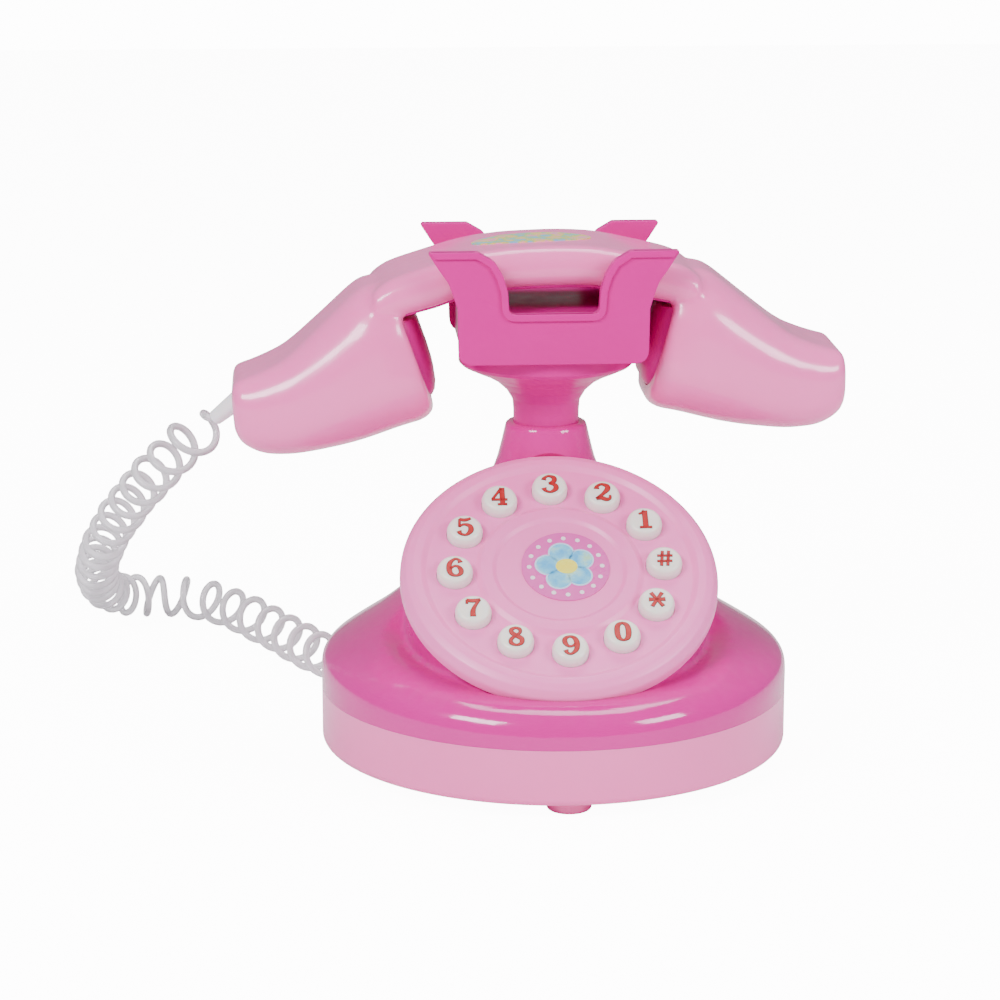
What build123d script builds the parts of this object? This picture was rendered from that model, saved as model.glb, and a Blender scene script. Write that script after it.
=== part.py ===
from build123d import *
import os
from math import atan, cos, degrees, pi, radians, sin, tan

# Toy desk telephone: a round base with a tilted push-button dial, a forked cradle on a post,
# and a handset on a curly cord. The origin is on the table at the centre of the round base.
# +Z is up and the dial faces -Y. All sizes are in millimetres.

os.makedirs("parts", exist_ok=True)

# Base
base_radius = 50.0
shell_wall = 2.0
foot_height = 3.0
foot_radius = 4.7
foot_circle = 41.5
floor_top = 5.0
seam_height = 15.0
lip_clearance = 0.15

# Battery box under the base
cell_diameter = 14.5
cell_length = 50.5
cell_pitch = 15.1
box_length = 57.0
box_width = 30.6
box_wall = 1.3
box_roof = 21.0

# Dial
dial_tilt = 35.1
dial_centre = (0, -15.1, 42.7)
dial_radius = 33.6
dial_thickness = 3.0
dial_rise = 1.95
hub_floor = 1.4
sticker_spot = (1.3, 0.8)
bore_radius = 29.4
boss_radius = 31.8
boss_depth = 20.0
button_circle = 22.1
button_radius = 3.8
button_height = 3.75
button_flange = 4.7
button_clearance = 0.08
button_turn = 92.0
post_spots_radius = 10.0
button_names = ["3", "2", "1", "hash", "star", "0", "9", "8", "7", "6", "5", "4"]

# Cradle
cradle_y = 22.0
neck_top = 67.9
neck_radius = 8.7
post_radius = 7.2
post_foot = 57.2
yoke_bottom = 84.4
yoke_half_width = 20.2
yoke_half_depth = 21.3
plate_thickness = 2.4
cradle_top = 108.7
notch_bottom = 95.3
saddle_top = 94.4

# Handset
handset_roll = 2.3
handset_shift = -2.7
handset_wall = 2.0

# Curly cord
cord_radius = 5.3
cord_route = [
    (-72.2, 22.2, 69.4), (-79.7, 26.6, 62.6), (-87.4, 40.0, 52.2), (-93.0, 53.2, 43.2),
    (-97.6, 65.2, 34.8), (-101.2, 77.0, 26.2), (-103.4, 88.2, 17.8), (-102.6, 98.4, 10.8),
    (-97.6, 106.6, 6.6), (-88.6, 110.4, 5.4), (-79.0, 107.2, 5.4), (-71.0, 97.8, 5.4),
    (-64.0, 85.0, 5.4), (-57.4, 71.8, 5.4), (-51.6, 58.4, 5.6), (-46.6, 46.4, 7.0),
    (-40.2, 38.2, 8.6),
]


def save(piece, name):
    """Labels a finished piece and writes it."""
    piece.part.label = name
    export_step(piece.part, f"parts/{name}.step")


def polar(radius, angle):
    return radius * cos(radians(angle)), radius * sin(radians(angle))


dial_plane = Plane(
    origin=dial_centre,
    x_dir=(1, 0, 0),
    z_dir=(0, -sin(radians(dial_tilt)), cos(radians(dial_tilt))),
)


def dial_height(edge):
    """Height of an edge's middle above the dial's plane."""
    return dial_plane.to_local_coords(edge.center()).Z


button_spots = [polar(button_circle, button_turn - 30 * i) for i in range(12)]


# ---------------------------------------------------------------- base tray
case_screw_angles = (30, 150, 210, 330)
case_screw_spots = [polar(42.0, angle) for angle in case_screw_angles]
speaker_spot = (0.0, 31.6)
door_length = 56.0
door_width = 31.0
gland_end = Vector(*cord_route[-1])
gland_axis = (Vector(*cord_route[-2]) - gland_end).normalized()
gland_root = gland_end - gland_axis * 9.6

with BuildPart() as base_tray:
    with BuildSketch(Plane.XY.offset(foot_height)):
        Circle(base_radius)
    extrude(amount=seam_height - foot_height)
    fillet(base_tray.edges().group_by(Axis.Z)[0], 1.5)
    with BuildSketch(Plane.XY.offset(floor_top)):
        Circle(base_radius - shell_wall)
    extrude(amount=seam_height, mode=Mode.SUBTRACT)
    with BuildSketch(Plane.XY.offset(floor_top - 0.5)):
        Rectangle(box_length + 2 * box_wall, box_width + 2 * box_wall)
    extrude(amount=box_roof - floor_top + 0.5)
    with BuildSketch(Plane.XY.offset(floor_top - 0.5)):
        Rectangle(box_length, box_width)
    extrude(amount=box_roof - floor_top + 0.5 - box_wall, mode=Mode.SUBTRACT)
    with BuildSketch(Plane.XY.offset(floor_top - 0.5)):
        with Locations(*case_screw_spots):
            Circle(3.2)
    extrude(amount=seam_height - floor_top)
    with BuildSketch(Plane.XY.offset(floor_top - 0.5)):
        with Locations(speaker_spot):
            Circle(15.0)
            Circle(13.8, mode=Mode.SUBTRACT)
    extrude(amount=3.0)
    with BuildSketch(Plane.XY):
        RectangleRounded(door_length + 0.3, door_width + 0.3, 2.15)
    extrude(amount=floor_top + 0.5, mode=Mode.SUBTRACT)
    with BuildSketch(Plane.XY):
        with Locations(*case_screw_spots):
            Circle(1.3)
    extrude(amount=seam_height + 1, mode=Mode.SUBTRACT)
    with BuildSketch(Plane.XY):
        with Locations(*case_screw_spots):
            Circle(2.3)
    extrude(amount=floor_top + 0.2, mode=Mode.SUBTRACT)
    with BuildSketch(Plane.XY):
        with Locations(speaker_spot):
            Circle(0.8)
            with PolarLocations(4.0, 6):
                Circle(0.8)
            with PolarLocations(8.0, 12):
                Circle(0.8)
    extrude(amount=floor_top + 0.5, mode=Mode.SUBTRACT)
    with BuildSketch(Plane(origin=gland_root, z_dir=gland_axis)):
        Circle(2.75)
    extrude(amount=9.0, mode=Mode.SUBTRACT)
    with BuildSketch(Plane.XY.offset(foot_height)):
        with PolarLocations(foot_circle, 4, start_angle=-90):
            Circle(1.6)
    extrude(amount=1.2, mode=Mode.SUBTRACT)
save(base_tray, "base_tray")

with BuildPart() as feet:
    with BuildSketch(Plane.XY):
        with PolarLocations(foot_circle, 4, start_angle=-90):
            Circle(foot_radius)
    extrude(amount=foot_height)
    fillet(feet.edges().group_by(Axis.Z)[0], 0.8)
    with BuildSketch(Plane.XY.offset(foot_height)):
        with PolarLocations(foot_circle, 4, start_angle=-90):
            Circle(1.5)
    extrude(amount=1.1)
save(feet, "feet")

with BuildPart() as battery_door:
    with BuildSketch(Plane.XY.offset(foot_height + 0.1)):
        RectangleRounded(door_length, door_width, 2.0)
    extrude(amount=floor_top - foot_height - 0.2)
    with BuildSketch(Plane.XY):
        with GridLocations(9.0, 0, 5, 1):
            SlotOverall(20.0, 1.6, rotation=90)
    extrude(amount=foot_height + 0.6, mode=Mode.SUBTRACT)
    with BuildSketch(Plane.XY):
        with Locations((door_length / 2 - 3.4, 0)):
            Circle(1.25)
    extrude(amount=floor_top + 1, mode=Mode.SUBTRACT)
    with BuildSketch(Plane.XY):
        with Locations((door_length / 2 - 3.4, 0)):
            Circle(2.2)
    extrude(amount=foot_height + 1.2, mode=Mode.SUBTRACT)
save(battery_door, "battery_door")

with BuildPart() as battery_door_screw:
    with BuildSketch(Plane.XY.offset(foot_height + 0.2)):
        with Locations((door_length / 2 - 3.4, 0)):
            Circle(2.0)
    extrude(amount=1.0)
    with BuildSketch(Plane.XY.offset(foot_height + 1.2)):
        with Locations((door_length / 2 - 3.4, 0)):
            Circle(1.1)
    extrude(amount=1.6)
    with BuildSketch(Plane.XY.offset(foot_height + 0.2)):
        with Locations((door_length / 2 - 3.4, 0)):
            Rectangle(2.4, 0.5)
            Rectangle(0.5, 2.4)
    extrude(amount=0.6, mode=Mode.SUBTRACT)
save(battery_door_screw, "battery_door_screw")

with BuildPart() as case_screws:
    with BuildSketch(Plane.XY.offset(floor_top - 1.2)):
        with Locations(*case_screw_spots):
            Circle(2.1)
    extrude(amount=1.4)
    with BuildSketch(Plane.XY.offset(floor_top + 0.2)):
        with Locations(*case_screw_spots):
            Circle(1.1)
    extrude(amount=14.0)
    with BuildSketch(Plane.XY.offset(floor_top - 1.2)):
        with Locations(*case_screw_spots):
            Rectangle(2.6, 0.5)
            Rectangle(0.5, 2.6)
    extrude(amount=0.7, mode=Mode.SUBTRACT)
save(case_screws, "case_screws")

# ---------------------------------------------------------------- cells and contacts
cell_height = floor_top + 0.1 + cell_diameter / 2
for name, side in (("cell_front", -1), ("cell_rear", 1)):
    with BuildPart() as cell:
        with BuildSketch(Plane(origin=(0, side * cell_pitch / 2, cell_height), z_dir=(side, 0, 0))):
            Circle(cell_diameter / 2)
        extrude(amount=(cell_length - 1.4) / 2, both=True)
        fillet(cell.edges(), 0.5)
        nub_plane = Plane(
            origin=(side * (cell_length - 1.4) / 2, side * cell_pitch / 2, cell_height),
            z_dir=(side, 0, 0),
        )
        with BuildSketch(nub_plane):
            Circle(2.7)
        extrude(amount=1.4)
    save(cell, name)

contact_x = box_length / 2 - 0.1
with BuildPart() as contact_plates:
    for side in (-1, 1):
        spot = (side * contact_x, side * cell_pitch / 2, cell_height)
        with BuildSketch(Plane(origin=spot, z_dir=(-side, 0, 0))):
            Rectangle(11.0, 9.0)
        extrude(amount=0.4)
        with BuildSketch(Plane(origin=spot, z_dir=(-side, 0, 0))):
            Circle(2.4)
        extrude(amount=contact_x - cell_length / 2 - 0.8)
save(contact_plates, "contact_plates")

with BuildPart() as contact_springs:
    for side in (-1, 1):
        spot = (-side * contact_x, side * cell_pitch / 2, cell_height)
        with BuildSketch(Plane(origin=spot, z_dir=(side, 0, 0))):
            Rectangle(11.0, 9.0)
        extrude(amount=0.4)
        with BuildSketch(Plane(origin=spot, z_dir=(side, 0, 0))):
            Circle(4.0)
            Circle(3.2, mode=Mode.SUBTRACT)
        extrude(amount=contact_x - (cell_length - 1.4) / 2 - 0.05, taper=8)
save(contact_springs, "contact_springs")

# ---------------------------------------------------------------- speaker
with BuildPart() as speaker_frame:
    with BuildSketch(Plane.XY.offset(floor_top + 0.1)):
        with Locations(speaker_spot):
            Circle(13.6)
            Circle(12.2, mode=Mode.SUBTRACT)
    extrude(amount=1.6)
    with BuildSketch(Plane.XY.offset(floor_top + 1.7)):
        with Locations(speaker_spot):
            Circle(13.6)
            Circle(6.0, mode=Mode.SUBTRACT)
    extrude(amount=1.2)
    with BuildSketch(Plane.XY.offset(floor_top + 2.9)):
        with Locations(speaker_spot):
            Circle(7.5)
            Circle(5.0, mode=Mode.SUBTRACT)
    extrude(amount=1.4)
save(speaker_frame, "speaker_frame")

with BuildPart() as speaker_magnet:
    with BuildSketch(Plane.XY.offset(floor_top + 4.3)):
        with Locations(speaker_spot):
            Circle(7.5)
    extrude(amount=2.6)
save(speaker_magnet, "speaker_magnet")

with BuildPart() as speaker_cone:
    with BuildSketch(Plane.XY.offset(floor_top + 0.3)):
        with Locations(speaker_spot):
            Circle(12.0)
    extrude(amount=0.5)
    with BuildSketch(Plane.XY.offset(floor_top + 0.8)):
        with Locations(speaker_spot):
            Circle(5.6)
    extrude(amount=1.8, taper=20)
save(speaker_cone, "speaker_cone")

# ---------------------------------------------------------------- base cover
# Rings of the cover from the wall's top up to the neck: centre in Y, height, radius and tilt in
# degrees (the back of each ring is higher than its front).
cover_rings = [
    (0.0, 20.5, 50.0, 2.9), (0.2, 23.4, 49.2, 3.4), (0.8, 25.6, 47.8, 4.2), (2.2, 28.4, 45.0, 6.6),
    (4.5, 31.0, 41.6, 10.8), (8.0, 34.2, 37.0, 22.0), (12.0, 37.8, 31.0, 28.0),
    (16.0, 44.0, 23.5, 28.0), (19.5, 51.5, 16.2, 22.0), (21.5, 58.0, 11.6, 10.0),
]
neck_foot = (22.0, 60.0, 10.3, 0.0)
shelf_ring = (20.6, 56.2, 13.2, 8.0)
# Rings of the lower cone that trims the sides and back.
cone_rings = [
    (0.0, 20.5, 50.0, 2.9), (0.2, 22.6, 49.0, 1.6), (1.0, 24.4, 46.6, 1.2), (2.6, 26.6, 42.8, 1.0),
    (5.0, 29.2, 38.0, 1.0), (9.0, 32.4, 32.4, 2.0), (13.4, 36.6, 26.2, 3.0), (17.0, 43.0, 20.0, 3.0),
    (19.9, 50.8, 14.8, 3.0), (21.5, 57.6, 11.6, 2.0),
]


def ring_plane(y, z, tilt):
    return Plane(
        origin=(0, y, z),
        x_dir=(1, 0, 0),
        z_dir=(0, -sin(radians(tilt)), cos(radians(tilt))),
    )


def cover_form(rings, inset, drop):
    """A solid through the rings, each one smaller by inset and lower by drop."""
    with BuildPart() as form:
        with BuildSketch(Plane.XY.offset(seam_height)):
            Circle(base_radius - inset)
        for y, z, radius, tilt in rings:
            with BuildSketch(ring_plane(y, z - drop, tilt)):
                Circle(radius - inset)
        loft(ruled=True)
    return form.part


cover_outside = cover_form(cover_rings + [neck_foot], 0, 0) & cover_form(cone_rings + [neck_foot], 0, 0)
cover_inside = cover_form(cover_rings[:-1] + [shelf_ring], shell_wall, 1.4)
cover_inside = cover_inside & cover_form(cone_rings[:-1] + [shelf_ring], shell_wall, 1.4)

with BuildPart() as cover_posts:
    with BuildSketch(Plane.XY.offset(seam_height - 0.4)):
        with Locations(*case_screw_spots):
            Circle(3.2)
        for angle in case_screw_angles:
            with PolarLocations(45.5, 1, start_angle=angle):
                Rectangle(4.0, 1.2)
    extrude(amount=20.0)
    with BuildSketch(Plane.XY.offset(seam_height - 0.4)):
        Circle(base_radius)
        Circle(46.6, mode=Mode.SUBTRACT)
    extrude(amount=0.4 + 0.6, mode=Mode.SUBTRACT)
cover_post_form = cover_posts.part & cover_outside

with BuildPart() as base_cover:
    add(cover_outside)
    with BuildSketch(Plane(origin=(0, cradle_y, 60.0))):
        Circle(10.3)
    extrude(amount=neck_top - 60.0, taper=degrees(atan((10.3 - neck_radius) / (neck_top - 60.0))))
    with BuildSketch(dial_plane.offset(-dial_thickness - 0.03)):
        Circle(boss_radius)
    extrude(amount=-boss_depth)
    with BuildSketch(dial_plane.offset(-dial_thickness - 0.03)):
        Circle(dial_radius + 0.3)
    extrude(amount=12.0, mode=Mode.SUBTRACT)
    add(cover_inside, mode=Mode.SUBTRACT)
    with BuildSketch(dial_plane.offset(-dial_thickness - 0.03)):
        Circle(boss_radius)
        Circle(bore_radius, mode=Mode.SUBTRACT)
    extrude(amount=-boss_depth)
    with BuildSketch(Plane.XY):
        Rectangle(box_length + 2 * box_wall + 1.2, box_width + 2 * box_wall + 1.2)
    extrude(amount=box_roof + 0.6, mode=Mode.SUBTRACT)
    with BuildSketch(Plane.XY):
        Circle(60)
    extrude(amount=seam_height, mode=Mode.SUBTRACT)
    with BuildSketch(Plane.XY):
        Circle(46.6)
    extrude(amount=seam_height + 2.4, mode=Mode.SUBTRACT)
    add(cover_post_form)
    with BuildSketch(Plane.XY.offset(seam_height)):
        Circle(base_radius - shell_wall + 0.5)
        Circle(46.6, mode=Mode.SUBTRACT)
    extrude(amount=2.4)
    with BuildSketch(Plane.XY.offset(seam_height - 1.4)):
        Circle(base_radius - shell_wall - lip_clearance)
        Circle(46.6, mode=Mode.SUBTRACT)
    extrude(amount=1.8)
    with BuildSketch(dial_plane.offset(-dial_thickness)):
        Circle(bore_radius)
    extrude(amount=-24.0, mode=Mode.SUBTRACT)
    with BuildSketch(Plane.XY.offset(seam_height - 0.4)):
        with Locations(*case_screw_spots):
            Circle(1.15)
    extrude(amount=5.4, mode=Mode.SUBTRACT)
    with BuildSketch(Plane.XY.offset(post_foot)):
        with Locations((0, cradle_y)):
            Circle(post_radius + 0.08)
    extrude(amount=20.0, mode=Mode.SUBTRACT)
    with BuildSketch(Plane.XY.offset(50.0)):
        with Locations((0, cradle_y)):
            Circle(1.3)
    extrude(amount=12.0, mode=Mode.SUBTRACT)
save(base_cover, "base_cover")

# ---------------------------------------------------------------- dial and its works
post_spots = [polar(post_spots_radius, angle) for angle in (90, 210, 330)]

with BuildPart() as dial_plate:
    with BuildSketch(dial_plane.offset(-dial_thickness)):
        Circle(dial_radius)
    extrude(amount=dial_thickness + dial_rise)
    front_edge = dial_plate.edges().sort_by(dial_height)[-1]
    fillet(front_edge, 2.6)
    with BuildSketch(dial_plane.offset(dial_rise)):
        Circle(28.1)
        Circle(16.6, mode=Mode.SUBTRACT)
    extrude(amount=-0.75, mode=Mode.SUBTRACT)
    with BuildSketch(dial_plane.offset(dial_rise)):
        Circle(13.5)
    extrude(amount=hub_floor - dial_rise, mode=Mode.SUBTRACT)
    with BuildSketch(dial_plane.offset(-dial_thickness - 2.0)):
        Circle(bore_radius - 0.2)
        Circle(28.0, mode=Mode.SUBTRACT)
    extrude(amount=2.2)
    with BuildSketch(dial_plane.offset(-7.4)):
        with Locations(*post_spots):
            Circle(1.8)
    extrude(amount=5.0)
    with BuildSketch(dial_plane.offset(-7.4)):
        with Locations(*post_spots):
            Circle(0.9)
    extrude(amount=3.6, mode=Mode.SUBTRACT)
    with BuildSketch(dial_plane.offset(-dial_thickness - 0.2)):
        with Locations(*button_spots):
            Circle(button_radius + button_clearance)
    extrude(amount=dial_thickness + dial_rise + 1, mode=Mode.SUBTRACT)
save(dial_plate, "dial_plate")

with BuildPart() as dial_sticker:
    with BuildSketch(dial_plane.offset(hub_floor)):
        with Locations(sticker_spot):
            Circle(9.3)
    extrude(amount=0.2)
save(dial_sticker, "dial_sticker")


def button(spot):
    """A flanged cap whose rounded top stands proud of the dial."""
    with BuildPart() as cap:
        with BuildSketch(dial_plane.offset(-4.5)):
            with Locations(spot):
                Circle(button_radius)
        extrude(amount=4.5 + button_height)
        top = cap.edges().sort_by(dial_height)[-1]
        fillet(top, 1.0)
        with BuildSketch(dial_plane.offset(-4.5)):
            with Locations(spot):
                Circle(button_flange)
        extrude(amount=1.4)
    return cap


for name, spot in zip(button_names, button_spots):
    save(button(spot), f"button_{name}")

with BuildPart() as keypad_membrane:
    with BuildSketch(dial_plane.offset(-7.35)):
        Circle(27.4)
    extrude(amount=1.05)
    with BuildSketch(dial_plane.offset(-6.4)):
        with Locations(*button_spots):
            Circle(3.6)
    extrude(amount=1.8, taper=25)
    with BuildSketch(dial_plane.offset(-7.35)):
        with Locations(*button_spots):
            Circle(2.4)
    extrude(amount=1.3, mode=Mode.SUBTRACT)
    with BuildSketch(dial_plane.offset(-7.5)):
        with Locations(*post_spots):
            Circle(2.2)
    extrude(amount=3.0, mode=Mode.SUBTRACT)
save(keypad_membrane, "keypad_membrane")

with BuildPart() as circuit_board:
    with BuildSketch(dial_plane.offset(-9.0)):
        Circle(27.0)
        with Locations(*post_spots):
            Circle(1.0, mode=Mode.SUBTRACT)
    extrude(amount=1.6)
save(circuit_board, "circuit_board")

with BuildPart() as circuit_chip:
    with BuildSketch(dial_plane.offset(-9.0)):
        Circle(5.0)
    extrude(amount=-1.5, taper=35)
save(circuit_chip, "circuit_chip")

with BuildPart() as circuit_screws:
    with BuildSketch(dial_plane.offset(-10.3)):
        with Locations(*post_spots):
            Circle(1.9)
    extrude(amount=1.3)
    with BuildSketch(dial_plane.offset(-9.0)):
        with Locations(*post_spots):
            Circle(0.85)
    extrude(amount=4.8)
    with BuildSketch(dial_plane.offset(-10.3)):
        with Locations(*post_spots):
            Rectangle(2.4, 0.5)
            Rectangle(0.5, 2.4)
    extrude(amount=0.6, mode=Mode.SUBTRACT)
save(circuit_screws, "circuit_screws")

# ---------------------------------------------------------------- cradle
post_profile = [
    (0, post_foot), (7.2, post_foot), (7.2, 70.5), (7.4, 72.6), (8.7, 75.0), (10.9, 77.0),
    (13.4, 78.4), (16.0, 79.5), (18.4, 80.6), (19.2, 81.3), (19.2, yoke_bottom),
    (16.4, yoke_bottom), (16.4, 83.0), (14.0, 81.3), (11.4, 80.2), (9.0, 78.8), (6.6, 76.4),
    (5.2, 73.6), (5.2, 68.0), (0, 68.0),
]
yoke_screw_x = 8.5

with BuildPart() as cradle_post:
    with BuildSketch(Plane.XZ) as post_section:
        with BuildLine():
            Polyline(*post_profile, close=True)
        make_face()
    revolve(axis=Axis.Z)
    with BuildSketch(Plane.XY.offset(yoke_bottom - 6.0)):
        with Locations((yoke_screw_x, 0), (-yoke_screw_x, 0)):
            Circle(2.4)
    extrude(amount=6.0)
    with BuildSketch(Plane.XY.offset(yoke_bottom - 5.0)):
        with Locations((yoke_screw_x, 0), (-yoke_screw_x, 0)):
            Circle(1.0)
    extrude(amount=5.0, mode=Mode.SUBTRACT)
    with BuildSketch(Plane.XY.offset(post_foot)):
        Circle(1.15)
    extrude(amount=9.0, mode=Mode.SUBTRACT)
cradle_post.part.locate(Location((0, cradle_y, 0)))
save(cradle_post, "cradle_post")

with BuildPart() as cradle_screw:
    with BuildSketch(Plane.XY.offset(post_foot - 4.0)):
        with Locations((0, cradle_y)):
            Circle(2.2)
    extrude(amount=1.4)
    with BuildSketch(Plane.XY.offset(post_foot - 2.6)):
        with Locations((0, cradle_y)):
            Circle(1.1)
    extrude(amount=10.0)
save(cradle_screw, "cradle_screw")

with BuildPart() as yoke_screws:
    with BuildSketch(Plane.XY.offset(yoke_bottom + 1.8)):
        with Locations((yoke_screw_x, cradle_y), (-yoke_screw_x, cradle_y)):
            Circle(2.0)
    extrude(amount=1.3)
    with BuildSketch(Plane.XY.offset(yoke_bottom + 1.8)):
        with Locations((yoke_screw_x, cradle_y), (-yoke_screw_x, cradle_y)):
            Circle(0.95)
    extrude(amount=-6.4)
    with BuildSketch(Plane.XY.offset(yoke_bottom + 3.1)):
        with Locations((yoke_screw_x, cradle_y), (-yoke_screw_x, cradle_y)):
            Rectangle(2.4, 0.5)
            Rectangle(0.5, 2.4)
    extrude(amount=-0.6, mode=Mode.SUBTRACT)
save(yoke_screws, "yoke_screws")

# Right half of a fork plate, from the bottom of the notch round to the middle of the lower edge.
notch_half = [
    (0, notch_bottom), (8.2, notch_bottom), (9.4, notch_bottom + 1.2), (9.8, 100.2), (10.6, 103.0),
    (12.2, 105.6), (14.8, cradle_top - 0.6),
]
flank_half = [
    (16.0, cradle_top), (26.8, cradle_top), (24.6, 105.3), (22.4, 102.2), (21.3, 99.3),
    (20.4, 96.4), (yoke_half_width, yoke_bottom + 3.0), (yoke_half_width - 0.9, yoke_bottom + 0.9),
    (yoke_half_width - 3.0, yoke_bottom), (0, yoke_bottom),
]
plate_half = notch_half + flank_half
plate_outline = plate_half + [(-x, z) for x, z in reversed(plate_half[1:-1])]

with BuildPart() as cradle_yoke:
    for side in (-1, 1):
        outer_y = cradle_y + side * yoke_half_depth
        outer_plane = Plane(origin=(0, outer_y, 0), x_dir=(1, 0, 0), z_dir=(0, -1, 0))
        with BuildSketch(outer_plane):
            with BuildLine():
                Polyline(*plate_outline, close=True)
            make_face()
        extrude(amount=side * plate_thickness)
    with BuildSketch(Plane.XY.offset(yoke_bottom)):
        with Locations((0, cradle_y)):
            RectangleRounded(38.0, 2 * yoke_half_depth - 1.0, 4.0)
    extrude(amount=1.8)
    with BuildSketch(Plane.XY.offset(saddle_top - 1.8)):
        with Locations((0, cradle_y)):
            Rectangle(38.0, 2 * yoke_half_depth - 1.0)
    extrude(amount=1.8)
    with BuildSketch(Plane.XY.offset(yoke_bottom)):
        with Locations((-18.0, cradle_y), (18.0, cradle_y)):
            Rectangle(2.0, 2 * yoke_half_depth - 1.0)
    extrude(amount=96.2 - yoke_bottom)
    with BuildSketch(Plane.XY.offset(yoke_bottom - 1)):
        with Locations((yoke_screw_x, cradle_y), (-yoke_screw_x, cradle_y)):
            Circle(1.1)
    extrude(amount=5.0, mode=Mode.SUBTRACT)
    with BuildSketch(Plane.XY.offset(saddle_top - 3.0)):
        with Locations((yoke_screw_x, cradle_y), (-yoke_screw_x, cradle_y)):
            Circle(2.4)
    extrude(amount=6.0, mode=Mode.SUBTRACT)
save(cradle_yoke, "cradle_yoke")

# ---------------------------------------------------------------- handset
roll_cos = cos(radians(handset_roll))
roll_sin = sin(radians(handset_roll))


def handset_point(u, z):
    """Turns a point of the level handset into its place on the cradle."""
    return (
        handset_shift + u * roll_cos - (z - 91.0) * roll_sin,
        cradle_y,
        91.0 + u * roll_sin + (z - 91.0) * roll_cos,
    )


def handset_plane(low, high, offset=0.0):
    """The plane of one cross-section, X along the depth and Y from its low to its high point."""
    start = Vector(*handset_point(*low))
    end = Vector(*handset_point(*high))
    rise = (end - start).normalized()
    return Plane(origin=(start + end) * 0.5, x_dir=(0, 1, 0), z_dir=(rise.Z, 0, -rise.X)).offset(offset)


def section_height(low, high):
    return ((high[0] - low[0]) ** 2 + (high[1] - low[1]) ** 2) ** 0.5


def body_through(sections):
    """A solid through rounded rectangles, each given as low, high, half depth and corner radius."""
    with BuildPart() as form:
        for low, high, half, corner in sections:
            with BuildSketch(handset_plane(low, high)):
                RectangleRounded(2 * half, section_height(low, high), corner)
        loft(ruled=True)
    return form.part


# Sections of one cup from its mouth to its closed end: low point, high point, half depth, corner.
cup_sections = [
    ((22.2, 71.8), (31.6, 102.0), 17.2, 12.0), ((30.0, 69.9), (38.5, 99.8), 18.6, 12.0),
    ((40.0, 67.2), (46.5, 93.0), 18.6, 11.0), ((50.0, 65.8), (54.0, 86.7), 17.8, 8.5),
    ((56.0, 65.6), (58.8, 84.2), 17.0, 7.2), ((60.8, 66.3), (62.6, 82.8), 16.2, 6.4),
    ((64.8, 68.9), (65.6, 81.4), 14.8, 4.5), ((66.1, 71.6), (66.4, 79.4), 12.4, 3.0),
]
# Stations of the grip: distance from its middle, underside, top, half depth.
grip_stations = [
    (0.0, 99.5, 108.3, 16.0), (6.0, 99.4, 108.2, 16.0), (12.0, 99.0, 107.7, 16.1),
    (17.0, 97.8, 106.8, 16.2), (22.0, 96.3, 105.5, 16.3), (31.0, 94.3, 102.9, 16.4),
    (35.0, 93.4, 100.2, 16.4),
]
all_stations = [(-u, low, high, half) for u, low, high, half in reversed(grip_stations[1:])]
all_stations = all_stations + grip_stations


def inset_point(a, b, amount):
    length = section_height(a, b)
    return (
        a[0] + (b[0] - a[0]) * amount / length,
        a[1] + (b[1] - a[1]) * amount / length,
    )


def cup_form(side, inset):
    """One cup's outside, or the space inside it when inset is given."""
    sections = []
    for low, high, half, corner in cup_sections:
        sections.append((inset_point(low, high, inset), inset_point(high, low, inset), half - inset, corner - inset))
    if inset:
        sections = sections[:-2]
        low, high, half, corner = sections[-1]
        sections.append(((low[0] + 2.6, low[1] + 2.0), (high[0] + 2.2, high[1] - 1.8), half - 1.4, corner - 1.6))
    placed = [((side * a[0], a[1]), (side * b[0], b[1]), half, corner) for a, b, half, corner in sections]
    return body_through(placed)


def grip_form(below, above, inset, corner):
    """The grip, moved out or in at its underside, top and sides."""
    sections = []
    for u, low, high, half in all_stations:
        height = high + above - low - below
        sections.append(((u, low + below), (u, high + above), half - inset, min(corner, height / 2 - 0.2)))
    return body_through(sections)


grip_outside = grip_form(0, 0, 0, 4.2)
grip_raised = grip_form(0, 0.2, 0, 4.2)
grip_inside = grip_form(-1.5, -handset_wall, handset_wall, 2.2)
strip_stations = [(-28.6, 94.83, 0, 16.4)] + all_stations[2:-2] + [(28.6, 94.83, 0, 16.4)]
strip_form = body_through(
    [((u, low), (u, low + 1.8), half - handset_wall - 0.1, 0.3) for u, low, high, half in strip_stations]
)
handset_up = (-roll_sin, 0, roll_cos)
handset_screw_spots = [handset_point(-24.0, 95.9), handset_point(24.0, 95.9)]
cord_start = Vector(*cord_route[0])
handset_gland_axis = (Vector(*cord_route[1]) - cord_start).normalized()

with BuildPart() as handset_outer_shell:
    add(grip_outside)
    add(cup_form(-1, 0))
    add(cup_form(1, 0))
    add(grip_inside, mode=Mode.SUBTRACT)
    add(cup_form(-1, handset_wall), mode=Mode.SUBTRACT)
    add(cup_form(1, handset_wall), mode=Mode.SUBTRACT)
    for spot in handset_screw_spots:
        with BuildSketch(Plane(origin=spot, z_dir=handset_up).offset(1.8)):
            Circle(2.4)
        extrude(amount=6.6)
        with BuildSketch(Plane(origin=spot, z_dir=handset_up).offset(1.7)):
            Circle(0.95)
        extrude(amount=5.0, mode=Mode.SUBTRACT)
    with BuildSketch(Plane(origin=cord_start, z_dir=handset_gland_axis)):
        Circle(2.3)
    extrude(amount=-11.0, mode=Mode.SUBTRACT)
save(handset_outer_shell, "handset_outer_shell")


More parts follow.
